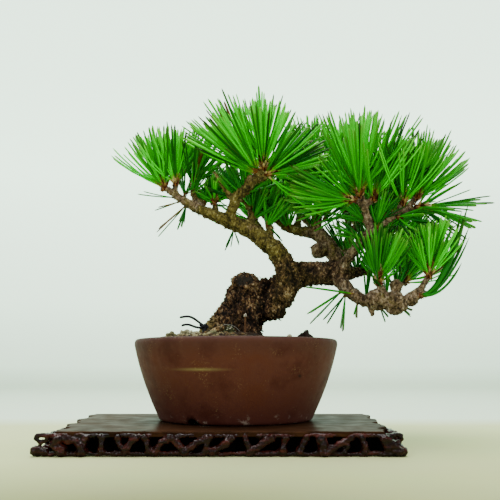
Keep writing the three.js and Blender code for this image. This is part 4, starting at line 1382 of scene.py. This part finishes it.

# %% [markdown]
# Behind the carving a plain frame of near-black battens reaches up to the board. It is
# painted shadow, a dark sheet put where there is only deep shade under the board, and it
# is what makes the openings look black.

# %% The inner frame
# Painted shadow: a near-black, dull skin for the battens under the board.
shadow_batten_skin = make_dull_skin("painted_shadow_batten", [(0.4, "#040303"), (0.7, "#0c0706")],
                             roughness=0.9, specular_ior_level=0.05)


def make_shadow_battens():
    """Four bars inside the rails, from just over the table to the board's underside."""
    low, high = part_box("stand_board")
    inset, thick = 4.0 * MM, 2.5 * MM
    bottom = 1.2 * MM
    tall = low.z + 0.2 * MM - bottom
    left, right = low.x + inset + 6 * MM, high.x - inset - 6 * MM
    front, back = low.y + inset, high.y - inset - 6 * MM
    shape = bmesh.new()
    for centre, size in ((((left + right) / 2, front), (right - left, thick)),
                         (((left + right) / 2, back), (right - left, thick)),
                         ((left, (front + back) / 2), (thick, back - front)),
                         ((right, (front + back) / 2), (thick, back - front))):
        place = Matrix.Translation((*centre, bottom + tall / 2)) @ Matrix.Diagonal((*size, tall, 1))
        bmesh.ops.create_cube(shape, size=1, matrix=place)
    bmesh.ops.bevel(shape, geom=shape.edges[:], offset=0.4 * MM, segments=2, affect="EDGES", profile=0.5,
                    material=-1)
    return shape


finish_piece("shadow_battens", make_shadow_battens(), shadow_batten_skin, smooth=False)

# %% [markdown]
# ### The board
# A thin board lies on the rails. Its back edge is straight, its sides are carved in
# shallow steps like a cloud's edge and run in towards the front, and its front reaches
# over the rail in a slow wave. It starts as a flat grid whose points are spread between
# the two side edges, is extruded to its thickness, and has its rim rounded over.

# %% Shape the board
def side_step(place, back, depth, most):
    """How far the carved side edge lies inside the board's own, in mm, for y in metres."""
    forward = (back - place) / depth
    wave = 1.9 * math.sin(place / (6.5 * MM) + most) + 1.3 * math.sin(place / (2.9 * MM) + 1.0)
    return 1.6 + most * forward ** 1.6 + round(wave) * min(1.0, 0.35 + 4 * forward)


def front_lip(place):
    """How far the board reaches forward over its front rail, in mm, for x in metres."""
    return 4.0 + 0.7 * math.sin(place / (4.1 * MM)) + 0.5 * math.sin(place / (1.9 * MM) + 2.0)


def make_board():
    low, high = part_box("stand_board")
    depth = high.y - low.y
    shape = bmesh.new()
    bmesh.ops.create_grid(shape, x_segments=90, y_segments=70, size=0.5)
    for vertex in shape.verts:
        part, y = vertex.co.x + 0.5, low.y + (vertex.co.y + 0.5) * depth
        left = low.x + side_step(y, high.y, depth, 9.5) * MM
        right = high.x - side_step(y, high.y, depth, 10.5) * MM
        vertex.co = Vector((left + (right - left) * part, y, low.z))
        if y < low.y + 0.1 * MM:
            vertex.co.y -= front_lip(vertex.co.x) * MM
    top = bmesh.ops.extrude_face_region(shape, geom=shape.faces[:])["geom"]
    moved = [g for g in top if isinstance(g, bmesh.types.BMVert)]
    bmesh.ops.translate(shape, verts=moved, vec=(0, 0, high.z - low.z))
    bmesh.ops.recalc_face_normals(shape, faces=shape.faces)
    sharp = [e for e in shape.edges if len(e.link_faces) == 2 and e.calc_face_angle() > 1.2
             and abs(e.verts[0].co.z - e.verts[1].co.z) < 0.1 * MM]
    bmesh.ops.bevel(shape, geom=sharp, offset=0.7 * MM, segments=3, affect="EDGES",
                    profile=0.5, material=-1)
    return shape


finish_piece("lacquered_board", make_board(), flat_lacquer, ["stand_board"],
             smooth=False)

# %% [markdown]
# ## The studio
# A seamless sheet: cream on the table, painted darker towards the front and with a
# painted shadow in front of the stand, and pale green-grey where it climbs behind,
# dimmer at its right. The light is soft and comes mostly from above and the front, so
# that shadows stay faint.

# %% The sweep
def make_sweep():
    shape = bmesh.new()
    profile = [(-2.5, 0.0), (1.0, 0.0)]
    for i in range(1, 13):
        turn = math.radians(90 * i / 12)
        profile.append((1.0 + 0.8 * math.sin(turn), 0.8 - 0.8 * math.cos(turn)))
    profile.append((1.8, 4.0))
    made = [shape.verts.new((-3.5, y, z)) for y, z in profile]
    edges = [shape.edges.new(pair) for pair in zip(made, made[1:])]
    grown = bmesh.ops.extrude_edge_only(shape, edges=edges)["geom"]
    moved = [g for g in grown if isinstance(g, bmesh.types.BMVert)]
    bmesh.ops.translate(shape, verts=moved, vec=(7, 0, 0))
    bmesh.ops.recalc_face_normals(shape, faces=shape.faces)
    mesh = bpy.data.meshes.new("sweep")
    shape.to_mesh(mesh)
    shape.free()
    for face in mesh.polygons:
        face.use_smooth = True
    return mesh


def make_paper():
    """Cream in front, painted darker at the front and with a painted shadow before the stand, pale
    green-grey behind, and glowing a little more with height.
    """
    material, tree, shader = start_material("matte_paper", roughness=0.9, specular_ior_level=0.1)
    place = add(tree, "TexCoord").outputs["Object"]
    axes = add(tree, "SeparateXYZ", {"Vector": place})
    depth = add(tree, "MapRange", {"Value": axes.outputs["Y"], "From Min": -0.25,
                                   "From Max": 0.25})
    tooth = add(tree, "TexNoise", {"Vector": place, "Scale": per_metre(40), "Detail": 3.0})
    # Painted shade: the cream grows darker towards the front.
    colour = add(tree, "ValToRGB", {"Fac": depth},
                 stops=[(0.1, "#969c68"), (0.32, "#adb47e"), (0.72, "#b2b988"), (0.88, "#bfd0ba")])
    # A painted shadow on the table in front of the stand.
    painted_front_shadow = soft_spot(tree, place, (50, 220, 0), (230, 140, 1000), "QUADRATIC_SPHERE")
    shaded = add(tree, "Mix", {0: painted_front_shadow, 6: colour, 7: linear("#5c603a")}, data_type="RGBA")
    soft = add(tree, "Mix", {0: 0.03, 6: shaded, 7: tooth.outputs["Color"]}, data_type="RGBA")
    plug(tree, soft, shader.inputs["Base Color"])
    shader.inputs["Emission Color"].default_value = linear("#d7f5df")
    rise = add(tree, "MapRange", {"Value": axes.outputs["Z"], "From Min": 0.0, "From Max": 0.8})
    glow = add(tree, "ValToRGB", {"Fac": rise},
               stops=[(0.0, 0.0), (0.06, 0.27), (0.3, 0.62), (0.9, 0.98)])
    dim = soft_spot(tree, place, (-800, -1800, -330), (900, 900, 500), "SPHERICAL")
    strength = add(tree, "MapRange", {"Value": dim, "To Min": 3.25, "To Max": 2.6})
    power = add(tree, "Math", {0: glow, 1: strength}, operation="MULTIPLY")
    plug(tree, power, shader.inputs["Emission Strength"])
    return material


sweep = bpy.data.objects.new("sweep", make_sweep())
sweep.data.materials.append(make_paper())
bpy.context.scene.collection.objects.link(sweep)


# %% The lights
def soft_light(name, place, aim, size, power, code="#ffffff"):
    data = bpy.data.lights.new(name, "AREA")
    data.shape = "DISK"
    data.size = size
    data.energy = power
    data.color = linear(code)[:3]
    light = bpy.data.objects.new(name, data)
    light.location = place
    light.rotation_euler = (Vector(aim) - Vector(place)).to_track_quat("-Z", "Y").to_euler()
    bpy.context.scene.collection.objects.link(light)


world = bpy.data.worlds.new("room")
world.use_nodes = True
bpy.context.scene.world = world
world.node_tree.nodes["Background"].inputs["Color"].default_value = linear("#f2f6f4")
world.node_tree.nodes["Background"].inputs["Strength"].default_value = 0.54
soft_light("overhead", (-0.1, 0.1, 1.3), (0, 0, 0.1), 1.2, 41.5)
soft_light("front_left", (-1.0, -1.3, 0.8), (0, 0, 0.12), 1.0, 9.5)
soft_light("front_right", (1.0, -1.2, 0.6), (0, 0, 0.12), 1.0, 9)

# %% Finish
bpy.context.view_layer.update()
